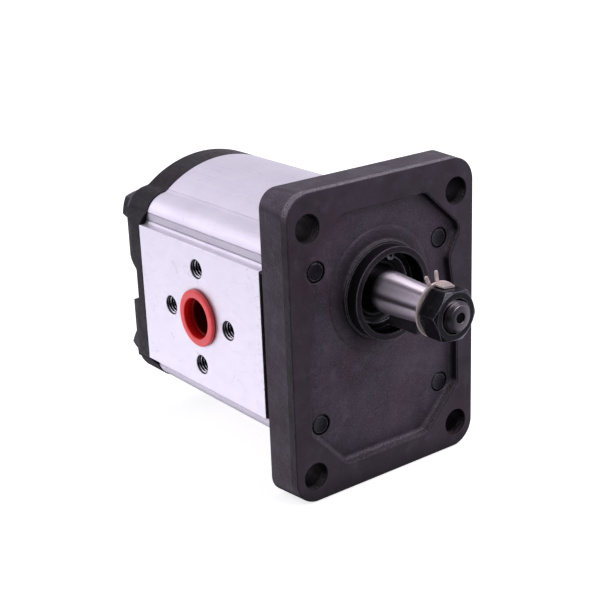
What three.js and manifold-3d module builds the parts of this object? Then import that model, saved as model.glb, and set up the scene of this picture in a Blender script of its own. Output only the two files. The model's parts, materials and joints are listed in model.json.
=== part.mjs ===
// External gear pump with a rectangular four-bolt flange and a 1:8 tapered drive shaft.
// Millimetres. The part's origin is on the flange's mounting face, at the middle of its lower border.
// The shaft points along -Y, the pump body runs along +Y, and +Z is up.
// The pieces are drawn with z = 0 on the drive shaft's axis, and the whole group is then lifted.

import * as THREE from 'three';
import { mergeVertices } from 'three/addons/utils/BufferGeometryUtils.js';
import Module from 'manifold-3d';

const wasm = await Module();
wasm.setup();

// ---- Driving dimensions ----

const CENTRE_DISTANCE = 33;
const DRIVEN_Z = -CENTRE_DISTANCE;
const MID_Z = DRIVEN_Z / 2;

const DRIVE_AXIS_HEIGHT = 70.5;

const FLANGE_WIDTH = 89.5;
const FLANGE_HEIGHT = 119.5;
const FLANGE_CORNER_R = 9;
const FLANGE_OFFSET_Z = 1.1;
const FLANGE_BACK_Y = 16.4;
const FLANGE_HOLE_X = 35.75;
const FLANGE_HOLE_Z = 48.1;
const FLANGE_HOLE_R = 5.25;
const RECESS_DEPTH = 3.4;

const PILOT_FRONT_Y = -4.3;
const PILOT_R = 18.07;
const PILOT_STEP_R = 18.9;
const PILOT_STEP_Y = 1.2;
const PILOT_FILLET_R = 19.5;
const PILOT_FOOT_R = 21.9;
const SEAL_BORE_R = 15.39;
const SEAL_BORE_BACK_Y = 11.6;
const SHAFT_HOLE_R = 9.8;

const HOUSING_FRONT_Y = 20.3;
const HOUSING_BACK_Y = 103.6;
const COVER_BACK_Y = 120.4;
const CROWN_R = 47;
const CROWN_CENTRE_Z = 3.7;
const LOBE_X = 29.3;
const LOBE_Z = 30.6;
const LOBE_R = 9.9;
const COVER_LOBE_R = 10.3;
const PAD_X = 43.15;
const PAD_Z = 29.3;
// From the pad's edge across the small cove to the flat band beside the lobe, as steps in x and z.
const COVE_STEPS = [[0, 0], [-1.95, -0.1], [-3.1, 0.5], [-3.75, 1.75]];
const COVER_COVE_STEPS = [[0, -0.6], [-1.4, 1.8]];
const LOBE_START_DEG = 18;
const COVER_LOBE_START_DEG = 14;
const COVER_BOSS_R = 9.6;
const COVER_SIDE_ROUND = 10.5;
const COVER_CROWN_CHAMFER = 3.4;
const NOTCH_FLOOR_Y = 108.2;
const NOTCH_LOW_Z = -4;
const NOTCH_HIGH_Z = 8.9;
const NOTCH_SLOPE = 0.83;
const NOTCH_INNER_X = 35.55;

const BOLT_PITCH = 30;
const BOLT_R = 4;
const BOLT_THREAD_HOLE_R = 4.1;
const BOLT_CLEARANCE_R = 4.5;
const BOLT_TIP_R = 3.15;
const BOLT_HEAD_FLATS = 13;
const BOLT_HEAD_HEIGHT = 5.3;
const BOLT_HEAD_TURNS_DEG = [14, 37, 0, 22];
const WASHER_R = 8;
const WASHER_THICKNESS = 1.6;

const PORT_Y = 62.4;
const INLET = { side: -1, boreR: 9.75, pitchR: 20, holeR: 3.4, holeDepth: 16, rimR: 11.6 };
const OUTLET = { side: 1, boreR: 6.75, pitchR: 15, holeR: 2.5, holeDepth: 13, rimR: 8.8 };
const PLUG_RIM_THICKNESS = 1.7;
const PLUG_WALL = 1.55;
const PLUG_DEPTH = 9;
const PLUG_CLEARANCE = 0.1;
const PLUG_RIM_GAP = 0.05;

const MODULE = 2.75;
const TEETH = 12;
const PRESSURE_ANGLE = THREE.MathUtils.degToRad(25);
const GEAR_WIDTH = 38;
const TOOTH_THINNING = 0.1;
const ROOT_FACTOR = 1.25;
const END_GAP = 0.1;
const COVER_GAP = 0.05;
const GEAR_BORE_R = 19.35;

const JOURNAL_R = 9;
const BUSH_BORE_R = 9.06;
const BUSH_R = 10.5;
const BUSH_FIT = 0.02;
const BUSH_LENGTH = 22;
const BLOCK_R = 19.22;

const TAPER_BIG_R = 8.38;
const TAPER_BIG_Y = 3;
const TAPER_SMALL_Y = -25;
const TAPER_SLOPE = 1 / 16;
const SHAFT_END_Y = -39.5;
const SHAFT_END_R = 4.6;
const CENTRE_HOLE_R = 1.8;
const CENTRE_HOLE_DEPTH = 4.6;
const THREAD_R = 5.9;
const THREAD_START_Y = -38;
const THREAD_NECK_R = 5.2;
const NUT_BACK_Y = -28.2;
const NUT_FRONT_Y = -37.2;
const NUT_FLATS = 18;
const NUT_TURN_DEG = -6.5;
const NUT_COUNTERSINK = 0.8;
const TAB_WASHER_R = 10.5;
const TAB_WASHER_THICKNESS = 0.8;
const TAB_WASHER_RISE = 0.25;
const PRONG_TIP_R = 15;
const PRONG_WIDTH = 1.4;
const PRONG_ANGLES_DEG = [110.5, 91];
const LUG_WIDTH = 6;
const LUG_REACH = 5.2;
const KEY_WIDTH = 3;
const KEY_DISC_R = 8;
const KEY_HEIGHT = 6.5;
const KEY_TOP_R = 9.1;
const KEY_MID_Y = -10.85;

const SEAL_FRONT_Y = 4.4;
const SEAL_LENGTH = 7;
const SEAL_LIP_R = 9.06;
const SEAL_MOUTH_R = 9.3;
const SEAL_CASE_WALL = 1.4;
const SEAL_WEB = 2;
const GARTER_R = 11.1;
const GARTER_WIRE_R = 0.6;
const SNAP_RING_Y = 3;
const SNAP_RING_THICKNESS = 1.2;
const SNAP_RING_INNER_R = 12.9;
const SNAP_GROOVE_R = 16;
const SNAP_RING_FIT = 0.15;
const SNAP_GAP_HALF_DEG = 24;
const SNAP_EYE_PLACE_R = 13.2;
const SNAP_EYE_R = 1.9;
const SNAP_EYE_HOLE_R = 0.9;

const FACE_SEAL_GROOVE = 1.7;
const FACE_SEAL_INNER_R = 21.2;
const FACE_SEAL_OUTER_R = 23;
const DOWEL_R = 2.5;
const DOWEL_REACH = 4;
const DOWEL_X = 33;
const DOWEL_OFFSET_Z = 8;
const DOWEL_FIT = 0.05;
const JOURNAL_END_GAP = 0.6;
const JOURNAL_CHAMFER = 0.9;

const BALANCE_SEAL_RADII = [15.4, 17.3];
const BACKUP_RING_RADII = [17.4, 18.3];
const BALANCE_GROOVE_DEPTH = 2;
const SEAL_FIT = 0.05;

const HEX_FACE_SHARE = 0.86;
const HEX_CHAMFER_SLOPE = 0.6;

// How far a cutting shape reaches past the face it opens.
const PAST = 1;

// Segments in a full turn.
const FINE = 48;
const MEDIUM = 32;
const COARSE = 16;

const BLOCK_FRONT_Y = HOUSING_FRONT_Y + COVER_GAP;
const BLOCK_LENGTH = (HOUSING_BACK_Y - HOUSING_FRONT_Y - GEAR_WIDTH) / 2 - COVER_GAP - END_GAP;
const GEAR_FRONT_Y = BLOCK_FRONT_Y + BLOCK_LENGTH + END_GAP;
const GEAR_BACK_Y = GEAR_FRONT_Y + GEAR_WIDTH;
const REAR_BLOCK_Y = GEAR_BACK_Y + END_GAP;

// ---- Solids ----

// Turns a closed geometry into a manifold solid, with shared vertices merged and flat triangles dropped.
function solid(geometry) {
  geometry.deleteAttribute('normal');
  geometry.deleteAttribute('uv');
  const merged = mergeVertices(geometry, 1e-4);
  const index = merged.index.array;
  const kept = [];
  for (let i = 0; i < index.length; i += 3) {
    const [a, b, c] = [index[i], index[i + 1], index[i + 2]];
    if (a !== b && b !== c && c !== a) kept.push(a, b, c);
  }
  return new wasm.Manifold(new wasm.Mesh({
    numProp: 3,
    vertProperties: new Float32Array(merged.attributes.position.array),
    triVerts: new Uint32Array(kept),
  }));
}

// A flat shape drawn in x and z, made into a solid between two y planes.
function slab(shape, frontY, backY) {
  const geometry = new THREE.ExtrudeGeometry(shape, { depth: backY - frontY, bevelEnabled: false });
  geometry.rotateX(Math.PI / 2);
  geometry.translate(0, backY, 0);
  return solid(geometry);
}

// A solid turned about the Y axis from [radius, y] pairs, listed anticlockwise, then moved to x and z.
function turned(profile, segments = MEDIUM, x = 0, z = 0) {
  const points = profile.map(([r, y]) => new THREE.Vector2(r, y));
  const geometry = new THREE.LatheGeometry(points, segments);
  geometry.translate(x, 0, z);
  return solid(geometry);
}

// A plain round bar along Y.
function bar(radius, frontY, backY, segments = MEDIUM, x = 0, z = 0) {
  return turned([[0, frontY], [radius, frontY], [radius, backY], [0, backY]], segments, x, z);
}

// A round bar along X, from one x to the other.
function crossBar(radius, lowX, highX, y, z, segments = COARSE) {
  const geometry = new THREE.CylinderGeometry(radius, radius, highX - lowX, segments);
  geometry.rotateZ(Math.PI / 2);
  geometry.translate((lowX + highX) / 2, y, z);
  return solid(geometry);
}

// A rectangular block given by its centre and its size.
function block(size, centre) {
  const geometry = new THREE.BoxGeometry(...size);
  geometry.translate(...centre);
  return solid(geometry);
}

function ring(innerR, outerR, frontY, backY, segments = MEDIUM, x = 0, z = 0) {
  const profile = [[innerR, frontY], [outerR, frontY], [outerR, backY], [innerR, backY], [innerR, frontY]];
  return turned(profile, segments, x, z);
}

function joined(solids) {
  return solids.reduce((sum, next) => sum.add(next));
}

function withCuts(body, cuts) {
  return cuts.reduce((left, cut) => left.subtract(cut), body);
}

const STEEL = { color: 0xb4b0b6, roughness: 0.3, metalness: 1 };
const CAST_IRON = { color: 0x2b272b, roughness: 0.6, metalness: 0.4 };
const BLACK_STEEL = { color: 0x17171b, roughness: 0.35, metalness: 0.7 };
const ALUMINIUM = { color: 0xc9c4d4, roughness: 0.4, metalness: 0.9 };
const ZINC = { color: 0xcfc6bd, roughness: 0.3, metalness: 1 };
const BRONZE = { color: 0xb08a4a, roughness: 0.4, metalness: 0.9 };
const RUBBER = { color: 0x151518, roughness: 0.8, metalness: 0 };
const WHITE_PLASTIC = { color: 0xe6e2d8, roughness: 0.5, metalness: 0 };
const RED_PLASTIC = { color: 0xd8201c, roughness: 0.35, metalness: 0 };

const pump = new THREE.Group();

function addPiece(name, body, look) {
  const { vertProperties, triVerts } = body.getMesh();
  const geometry = new THREE.BufferGeometry();
  geometry.setAttribute('position', new THREE.BufferAttribute(vertProperties, 3));
  geometry.setIndex(new THREE.BufferAttribute(triVerts, 1));
  geometry.computeVertexNormals();
  const mesh = new THREE.Mesh(geometry, new THREE.MeshStandardMaterial(look));
  mesh.name = name;
  pump.add(mesh);
}

// ---- Outlines, drawn in x and z ----

function arcPoints(centreX, centreZ, radius, startDeg, endDeg, steps) {
  const points = [];
  for (let i = 0; i <= steps; i += 1) {
    const angle = THREE.MathUtils.degToRad(startDeg + ((endDeg - startDeg) * i) / steps);
    points.push([centreX + radius * Math.cos(angle), centreZ + radius * Math.sin(angle)]);
  }
  return points;
}

function shapeFrom(points) {
  return new THREE.Shape(points.map(([x, z]) => new THREE.Vector2(x, z)));
}

// Repeats the points of one quarter, listed from the +x side to the top, in all four quarters about MID_Z.
function fourQuarters(quarter) {
  const back = [...quarter].reverse();
  const all = [
    ...quarter,
    ...back.map(([x, z]) => [-x, z]),
    ...quarter.map(([x, z]) => [-x, -z]),
    ...back.map(([x, z]) => [x, -z]),
  ];
  const apart = all.filter(([x, z], i) => {
    const [nextX, nextZ] = all[(i + 1) % all.length];
    return Math.hypot(nextX - x, nextZ - z) > 1e-6;
  });
  return shapeFrom(apart.map(([x, z]) => [x, z + MID_Z]));
}

function roundedRectangle(width, height, cornerR) {
  const x = width / 2 - cornerR;
  const z = height / 2 - cornerR;
  return fourQuarters(arcPoints(x, z, cornerR, 0, 90, 8));
}

// The angle, in degrees about the crown's centre, at which a lobe's circle meets the crown arc.
function crownEndAngle(lobeR) {
  const rise = LOBE_Z - CROWN_CENTRE_Z;
  const reach = Math.hypot(LOBE_X, rise);
  const cosine = (CROWN_R ** 2 + reach ** 2 - lobeR ** 2) / (2 * CROWN_R * reach);
  return THREE.MathUtils.radToDeg(Math.atan2(rise, LOBE_X) + Math.acos(cosine));
}

// One quarter of the section: the flat side, a lobe round the bolt, then the crown arc.
function sectionQuarter(sidePoints, lobeR, lobeStartDeg) {
  const crownDeg = crownEndAngle(lobeR);
  const [meetX, meetZ] = arcPoints(0, CROWN_CENTRE_Z, CROWN_R, crownDeg, crownDeg, 1)[0];
  const lobeEndDeg = THREE.MathUtils.radToDeg(Math.atan2(meetZ - LOBE_Z, meetX - LOBE_X));
  return [
    ...sidePoints,
    ...arcPoints(LOBE_X, LOBE_Z, lobeR, lobeStartDeg, lobeEndDeg, 6),
    ...arcPoints(0, CROWN_CENTRE_Z, CROWN_R, crownDeg, 90, 8).slice(1),
  ];
}

// The extruded body has a machined pad on each side and a small cove between pad and lobe.
function housingOutline() {
  const side = COVE_STEPS.map(([dx, dz]) => [PAD_X + dx, PAD_Z + dz]);
  return fourQuarters(sectionQuarter(side, LOBE_R, LOBE_START_DEG));
}

function coverOutline() {
  const side = COVER_COVE_STEPS.map(([dx, dz]) => [PAD_X + dx, PAD_Z + dz]);
  return fourQuarters(sectionQuarter(side, COVER_LOBE_R, COVER_LOBE_START_DEG));
}

// The shallow cast recess in the flange's face, symmetric left to right but not top to bottom.
function recessOutline() {
  const rightSide = [
    [20, 50.2], [34.1, 37.6], [36.9, 34.4], [37.5, 31.4], [35.6, 27.2], [33.4, 24.2],
    [33.1, 20], [34.6, 8], [36.3, -8], [36.6, -29], [34.8, -33.6], [20.5, -47.6],
  ];
  const leftSide = [...rightSide].reverse().map(([x, z]) => [-x, z]);
  return shapeFrom([...rightSide, ...leftSide].map(([x, z]) => [x, z + MID_Z]));
}

// A slot shape round both gear axes.
function stadium(radius) {
  return shapeFrom([
    ...arcPoints(0, 0, radius, 0, 180, COARSE),
    ...arcPoints(0, DRIVEN_Z, radius, 180, 360, COARSE),
  ]);
}

function stadiumRing(innerR, outerR) {
  const shape = stadium(outerR);
  shape.holes.push(stadium(innerR));
  return shape;
}

function hexagon(acrossFlats, turnDeg) {
  const radius = acrossFlats / Math.sqrt(3);
  return shapeFrom(arcPoints(0, 0, radius, turnDeg, turnDeg + 300, 5));
}

// ---- Repeated places ----

const corners = [[-1, 1], [1, 1], [-1, -1], [1, -1]];
const boltPlaces = corners.map(([sx, sz]) => [sx * BOLT_PITCH, MID_Z + sz * BOLT_PITCH]);
const flangeHolePlaces = corners.map(([sx, sz]) => [sx * FLANGE_HOLE_X, MID_Z + sz * FLANGE_HOLE_Z]);
const dowelPlaces = [[-DOWEL_X, MID_Z + DOWEL_OFFSET_Z], [DOWEL_X, MID_Z - DOWEL_OFFSET_Z]];

function barsAt(places, radius, frontY, backY, segments) {
  return places.map(([x, z]) => bar(radius, frontY, backY, segments, x, z));
}

function bothAxes(radius, frontY, backY, segments) {
  return bar(radius, frontY, backY, segments).add(bar(radius, frontY, backY, segments, 0, DRIVEN_Z));
}


// ---- Casings ----

function frontFlange() {
  const outline = roundedRectangle(FLANGE_WIDTH, FLANGE_HEIGHT, FLANGE_CORNER_R);
  const plate = slab(outline, 0, FLANGE_BACK_Y).translate([0, 0, FLANGE_OFFSET_Z]);
  const boss = slab(housingOutline(), FLANGE_BACK_Y - PAST, HOUSING_FRONT_Y);
  const recess = slab(recessOutline(), -PAST, RECESS_DEPTH);
  const pilot = turned([
    [0, PILOT_FRONT_Y], [PILOT_R, PILOT_FRONT_Y], [PILOT_R, PILOT_STEP_Y], [PILOT_STEP_R, PILOT_STEP_Y],
    [PILOT_FILLET_R, RECESS_DEPTH - 1.5], [PILOT_FOOT_R, RECESS_DEPTH + PAST], [0, RECESS_DEPTH + PAST],
  ], FINE);
  const seal = slab(stadiumRing(FACE_SEAL_INNER_R, FACE_SEAL_OUTER_R), HOUSING_FRONT_Y - FACE_SEAL_GROOVE,
    HOUSING_FRONT_Y + PAST);
  return withCuts(plate.add(boss).subtract(recess).add(pilot), [
    bar(SEAL_BORE_R, PILOT_FRONT_Y - PAST, SEAL_BORE_BACK_Y, FINE),
    bar(SHAFT_HOLE_R, 0, HOUSING_FRONT_Y + PAST),
    bar(SNAP_GROOVE_R, SNAP_RING_Y, SNAP_RING_Y + SNAP_RING_THICKNESS + 0.1, FINE),
    seal,
    ...barsAt(flangeHolePlaces, FLANGE_HOLE_R, -PAST, FLANGE_BACK_Y + PAST, MEDIUM),
    ...barsAt(boltPlaces, BOLT_THREAD_HOLE_R, -PAST, HOUSING_FRONT_Y + PAST, COARSE),
    ...barsAt(dowelPlaces, DOWEL_R + DOWEL_FIT, HOUSING_FRONT_Y - DOWEL_REACH - DOWEL_FIT,
      HOUSING_FRONT_Y + PAST, COARSE),
  ]);
}

// The bore and its four threaded holes, in a plus pattern, cut from one side of the housing.
function portCuts(port) {
  const reach = (depth) => [port.side * (PAD_X - depth), port.side * (PAD_X + PAST)].sort((a, b) => a - b);
  const bore = crossBar(port.boreR, ...reach(PAD_X - PAST), PORT_Y, MID_Z, MEDIUM);
  const holes = [[1, 0], [-1, 0], [0, 1], [0, -1]].map(([dy, dz]) => crossBar(port.holeR,
    ...reach(port.holeDepth), PORT_Y + dy * port.pitchR, MID_Z + dz * port.pitchR));
  return [bore, ...holes];
}

function gearHousing() {
  const dowelHoles = (frontY, backY) => barsAt(dowelPlaces, DOWEL_R + DOWEL_FIT, frontY, backY, COARSE);
  return withCuts(slab(housingOutline(), HOUSING_FRONT_Y, HOUSING_BACK_Y), [
    bothAxes(GEAR_BORE_R, HOUSING_FRONT_Y - PAST, HOUSING_BACK_Y + PAST, FINE),
    ...barsAt(boltPlaces, BOLT_CLEARANCE_R, HOUSING_FRONT_Y - PAST, HOUSING_BACK_Y + PAST, COARSE),
    ...portCuts(INLET),
    ...portCuts(OUTLET),
    ...dowelHoles(HOUSING_FRONT_Y - PAST, HOUSING_FRONT_Y + DOWEL_REACH + DOWEL_FIT),
    ...dowelHoles(HOUSING_BACK_Y - DOWEL_REACH - DOWEL_FIT, HOUSING_BACK_Y + PAST),
  ]);
}

// The solid inside the cover's rear edge: rounded at the two sides, chamfered at the crowns.
function coverEdgeForm() {
  const sideArc = [];
  for (let i = 0; i <= 8; i += 1) {
    const angle = ((Math.PI / 2) * i) / 8;
    const inward = COVER_SIDE_ROUND * (1 - Math.cos(angle));
    const rearward = COVER_SIDE_ROUND * Math.sin(angle);
    sideArc.push([PAD_X - inward, COVER_BACK_Y - COVER_SIDE_ROUND + rearward]);
  }
  const right = [[PAD_X, HOUSING_BACK_Y - PAST], ...sideArc];
  const left = [...right].reverse().map(([x, y]) => [-x, y]);
  const plan = new THREE.Shape([...right, ...left].map(([x, y]) => new THREE.Vector2(x, y)));
  const height = 2 * (CROWN_CENTRE_Z + CROWN_R + PAST);
  const geometry = new THREE.ExtrudeGeometry(plan, { depth: height, bevelEnabled: false });
  geometry.translate(0, 0, MID_Z - height / 2);
  return solid(geometry);
}

function crownChamferForm() {
  const crownZ = CROWN_CENTRE_Z + CROWN_R;
  const shoulderY = COVER_BACK_Y - COVER_CROWN_CHAMFER;
  const half = [
    [HOUSING_BACK_Y - PAST, crownZ], [shoulderY, crownZ], [COVER_BACK_Y, crownZ - COVER_CROWN_CHAMFER],
  ];
  const other = [...half].reverse().map(([y, z]) => [y, -z]);
  const shape = new THREE.Shape([...half, ...other].map(([y, z]) => new THREE.Vector2(y, z + MID_Z)));
  const width = 2 * (PAD_X + PAST);
  const geometry = new THREE.ExtrudeGeometry(shape, { depth: width, bevelEnabled: false });
  geometry.rotateZ(Math.PI / 2);
  geometry.rotateY(Math.PI / 2);
  geometry.translate(-width / 2, 0, 0);
  return solid(geometry);
}

// The relief at the middle of each side of the cover, with a sloped upper end.
function coverNotch(side) {
  const outerY = COVER_BACK_Y + PAST;
  const shape = new THREE.Shape([
    new THREE.Vector2(NOTCH_FLOOR_Y, NOTCH_LOW_Z), new THREE.Vector2(outerY, NOTCH_LOW_Z),
    new THREE.Vector2(outerY, NOTCH_HIGH_Z + NOTCH_SLOPE * (outerY - NOTCH_FLOOR_Y)),
    new THREE.Vector2(NOTCH_FLOOR_Y, NOTCH_HIGH_Z),
  ]);
  const depth = PAD_X + PAST - NOTCH_INNER_X;
  const geometry = new THREE.ExtrudeGeometry(shape, { depth, bevelEnabled: false });
  geometry.rotateZ(Math.PI / 2);
  geometry.rotateY(Math.PI / 2);
  geometry.translate(side > 0 ? NOTCH_INNER_X : -NOTCH_INNER_X - depth, 0, MID_Z);
  return solid(geometry);
}

function rearCover() {
  const bosses = barsAt(boltPlaces, COVER_BOSS_R, HOUSING_BACK_Y, COVER_BACK_Y, MEDIUM);
  const edgeForm = joined([coverEdgeForm(), ...bosses]).intersect(crownChamferForm());
  const edged = slab(coverOutline(), HOUSING_BACK_Y, COVER_BACK_Y).intersect(edgeForm);
  const sealGroove = slab(stadiumRing(FACE_SEAL_INNER_R, FACE_SEAL_OUTER_R), HOUSING_BACK_Y - PAST,
    HOUSING_BACK_Y + FACE_SEAL_GROOVE);
  return withCuts(edged, [
    sealGroove,
    coverNotch(-1),
    coverNotch(1),
    ...barsAt(boltPlaces, BOLT_CLEARANCE_R, HOUSING_BACK_Y - PAST, COVER_BACK_Y + PAST, COARSE),
    ...barsAt(dowelPlaces, DOWEL_R + DOWEL_FIT, HOUSING_BACK_Y - PAST,
      HOUSING_BACK_Y + DOWEL_REACH + DOWEL_FIT, COARSE),
  ]);
}

// ---- Gears and shafts ----

function involute(angle) {
  return Math.tan(angle) - angle;
}

// Half the angle a tooth spans at a radius, thinned for backlash.
function halfToothAngle(radius) {
  const pitchR = (MODULE * TEETH) / 2;
  const baseR = pitchR * Math.cos(PRESSURE_ANGLE);
  const atPitch = (Math.PI * MODULE) / 2 - TOOTH_THINNING;
  const angleHere = Math.acos(Math.min(1, baseR / radius));
  return atPitch / (2 * pitchR) + involute(PRESSURE_ANGLE) - involute(angleHere);
}

// A spur gear's outline; firstToothDeg is the direction of one tooth's centre line.
function gearOutline(firstToothDeg) {
  const pitchR = (MODULE * TEETH) / 2;
  const tipR = pitchR + MODULE;
  const rootR = pitchR - ROOT_FACTOR * MODULE;
  const baseR = pitchR * Math.cos(PRESSURE_ANGLE);
  const flankRadii = [0, 1, 2, 3, 4].map((i) => baseR + ((tipR - baseR) * i) / 4);
  const points = [];
  for (let tooth = 0; tooth < TEETH; tooth += 1) {
    const centre = THREE.MathUtils.degToRad(firstToothDeg) + (2 * Math.PI * tooth) / TEETH;
    const rising = flankRadii.map((r) => [r, centre - halfToothAngle(r)]);
    const falling = [...flankRadii].reverse().map((r) => [r, centre + halfToothAngle(r)]);
    const rootHalf = halfToothAngle(baseR) + 0.06;
    const toothPoints = [[rootR, centre - rootHalf], ...rising, ...falling, [rootR, centre + rootHalf]];
    points.push(...toothPoints.map(([r, a]) => [r * Math.cos(a), r * Math.sin(a)]));
  }
  return shapeFrom(points);
}

function taperRadius(y) {
  return TAPER_BIG_R + (y - TAPER_BIG_Y) * TAPER_SLOPE;
}

// The Woodruff key, a segment of a disc with its flat top at KEY_TOP_R; grow makes the seat that holds it.
function keyForm(grow) {
  const discZ = -(KEY_TOP_R + KEY_DISC_R - KEY_HEIGHT);
  const discR = KEY_DISC_R + grow;
  const geometry = new THREE.CylinderGeometry(discR, discR, KEY_WIDTH + 2 * grow, MEDIUM);
  geometry.rotateZ(Math.PI / 2);
  geometry.translate(0, KEY_MID_Y, discZ);
  const aboveTop = block([20, 30, 10], [0, KEY_MID_Y, -KEY_TOP_R - 5]);
  return solid(geometry).subtract(aboveTop);
}

function driveGearShaft() {
  const backY = HOUSING_BACK_Y - JOURNAL_END_GAP;
  const shaft = turned([
    [0, SHAFT_END_Y + CENTRE_HOLE_DEPTH + 0.8], [CENTRE_HOLE_R, SHAFT_END_Y + CENTRE_HOLE_DEPTH],
    [CENTRE_HOLE_R, SHAFT_END_Y], [SHAFT_END_R, SHAFT_END_Y],
    [THREAD_R, THREAD_START_Y], [THREAD_R, TAPER_SMALL_Y - 1.6],
    [THREAD_NECK_R, TAPER_SMALL_Y - 1.2], [THREAD_NECK_R, TAPER_SMALL_Y],
    [taperRadius(TAPER_SMALL_Y), TAPER_SMALL_Y],
    [TAPER_BIG_R, TAPER_BIG_Y], [JOURNAL_R, TAPER_BIG_Y + 0.7],
    [JOURNAL_R, backY - JOURNAL_CHAMFER], [JOURNAL_R - JOURNAL_CHAMFER, backY], [0, backY],
  ]);
  return shaft.add(slab(gearOutline(-90), GEAR_FRONT_Y, GEAR_BACK_Y)).subtract(keyForm(0.03));
}

function drivenGearShaft() {
  const frontY = HOUSING_FRONT_Y + JOURNAL_END_GAP;
  const backY = HOUSING_BACK_Y - JOURNAL_END_GAP;
  const shaft = turned([
    [0, frontY], [JOURNAL_R - JOURNAL_CHAMFER, frontY], [JOURNAL_R, frontY + JOURNAL_CHAMFER],
    [JOURNAL_R, backY - JOURNAL_CHAMFER], [JOURNAL_R - JOURNAL_CHAMFER, backY], [0, backY],
  ]);
  const gapUp = 90 + 180 / TEETH;
  return shaft.add(slab(gearOutline(gapUp), GEAR_FRONT_Y, GEAR_BACK_Y)).translate([0, 0, DRIVEN_Z]);
}

// ---- Bearing blocks, bushes and the seals behind them ----

// A band shaped like a 3: an arc round each axis, joined halfway between them, open towards the inlet.
function threeBand([innerR, outerR], frontY, backY) {
  const openDeg = 150;
  const pastMeetingDeg = -82;
  const outline = [
    ...arcPoints(0, 0, outerR, pastMeetingDeg, openDeg, COARSE),
    ...arcPoints(0, 0, innerR, openDeg, pastMeetingDeg, COARSE),
  ];
  const halfSize = [60, 200, 60];
  const joinOverlap = 0.02;
  const upperHalf = block(halfSize, [0, 100, MID_Z + halfSize[2] / 2 - joinOverlap]);
  const lowerHalf = block(halfSize, [0, 100, MID_Z - halfSize[2] / 2 + joinOverlap]);
  const upper = slab(shapeFrom(outline), frontY, backY).intersect(upperHalf);
  const lowerOutline = outline.map(([x, z]) => [x, DRIVEN_Z - z]).reverse();
  return upper.add(slab(shapeFrom(lowerOutline), frontY, backY).intersect(lowerHalf));
}

// A figure-of-eight block with a bore for each bush; sealY is the y of its grooved outer face.
function bearingBlock(frontY, sealY) {
  const backY = frontY + BLOCK_LENGTH;
  const grooveRadii = [BALANCE_SEAL_RADII[0] - SEAL_FIT, BACKUP_RING_RADII[1] + SEAL_FIT];
  const grooveY = sealY === frontY ? [frontY - PAST, frontY + BALANCE_GROOVE_DEPTH]
    : [backY - BALANCE_GROOVE_DEPTH, backY + PAST];
  return withCuts(bothAxes(BLOCK_R, frontY, backY, FINE), [
    bothAxes(BUSH_R, frontY - PAST, backY + PAST, MEDIUM),
    threeBand(grooveRadii, ...grooveY),
  ]);
}

function bush(blockY, z) {
  const frontY = blockY + (BLOCK_LENGTH - BUSH_LENGTH) / 2;
  return ring(BUSH_BORE_R, BUSH_R - BUSH_FIT, frontY, frontY + BUSH_LENGTH, MEDIUM, 0, z);
}

function faceSeal(frontY) {
  const shape = stadiumRing(FACE_SEAL_INNER_R + SEAL_FIT, FACE_SEAL_OUTER_R - SEAL_FIT);
  return slab(shape, frontY, frontY + FACE_SEAL_GROOVE - SEAL_FIT);
}

// ---- Shaft seal ----

// A case pressed into the bore, a web across its front, and a lip that reaches the shaft.
function lipSeal() {
  const caseR = SEAL_BORE_R - SEAL_FIT;
  const backY = SEAL_FRONT_Y + SEAL_LENGTH;
  const webBackY = SEAL_FRONT_Y + SEAL_WEB;
  return turned([
    [SEAL_MOUTH_R, SEAL_FRONT_Y], [caseR, SEAL_FRONT_Y], [caseR, backY], [caseR - SEAL_CASE_WALL, backY],
    [caseR - SEAL_CASE_WALL, webBackY], [SEAL_LIP_R + 1.64, webBackY], [SEAL_LIP_R + 1.34, webBackY + 1.8],
    [SEAL_LIP_R + 1.34, webBackY + 3.4], [SEAL_LIP_R + 0.34, webBackY + 3.8], [SEAL_LIP_R, webBackY + 2.8],
    [SEAL_LIP_R + 0.44, webBackY - 0.4], [SEAL_MOUTH_R, SEAL_FRONT_Y],
  ]);
}

function garterSpring() {
  const geometry = new THREE.TorusGeometry(GARTER_R, GARTER_WIRE_R, 6, MEDIUM);
  geometry.rotateX(Math.PI / 2);
  geometry.translate(0, SEAL_FRONT_Y + SEAL_WEB + 2.6, 0);
  return solid(geometry);
}

// An internal retaining ring with a gap at the top and an eyelet at each end.
function snapRing() {
  const outerR = SNAP_GROOVE_R - SNAP_RING_FIT;
  const startDeg = 90 + SNAP_GAP_HALF_DEG;
  const endDeg = 450 - SNAP_GAP_HALF_DEG;
  const band = [
    ...arcPoints(0, 0, outerR, startDeg, endDeg, MEDIUM),
    ...arcPoints(0, 0, SNAP_RING_INNER_R, endDeg, startDeg, MEDIUM),
  ];
  const frontY = SNAP_RING_Y + SEAL_FIT;
  const backY = frontY + SNAP_RING_THICKNESS;
  const eyes = arcPoints(0, 0, SNAP_EYE_PLACE_R, 90 - SNAP_GAP_HALF_DEG, startDeg, 1);
  const eyelets = barsAt(eyes, SNAP_EYE_R, frontY, backY, COARSE);
  const body = joined([slab(shapeFrom(band), frontY, backY), ...eyelets]);
  return withCuts(body, barsAt(eyes, SNAP_EYE_HOLE_R, frontY - PAST, backY + PAST, COARSE));
}

// ---- Shaft end fasteners ----

// The turned shape that takes the corners off both ends of a hexagon, about 31 degrees from the face.
function hexChamferForm(frontY, backY, cornerR) {
  const low = cornerR * HEX_FACE_SHARE;
  const drop = (cornerR - low) * HEX_CHAMFER_SLOPE;
  return turned([
    [0, frontY], [low, frontY], [cornerR, frontY + drop], [cornerR, backY - drop], [low, backY], [0, backY],
  ]);
}

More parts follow.
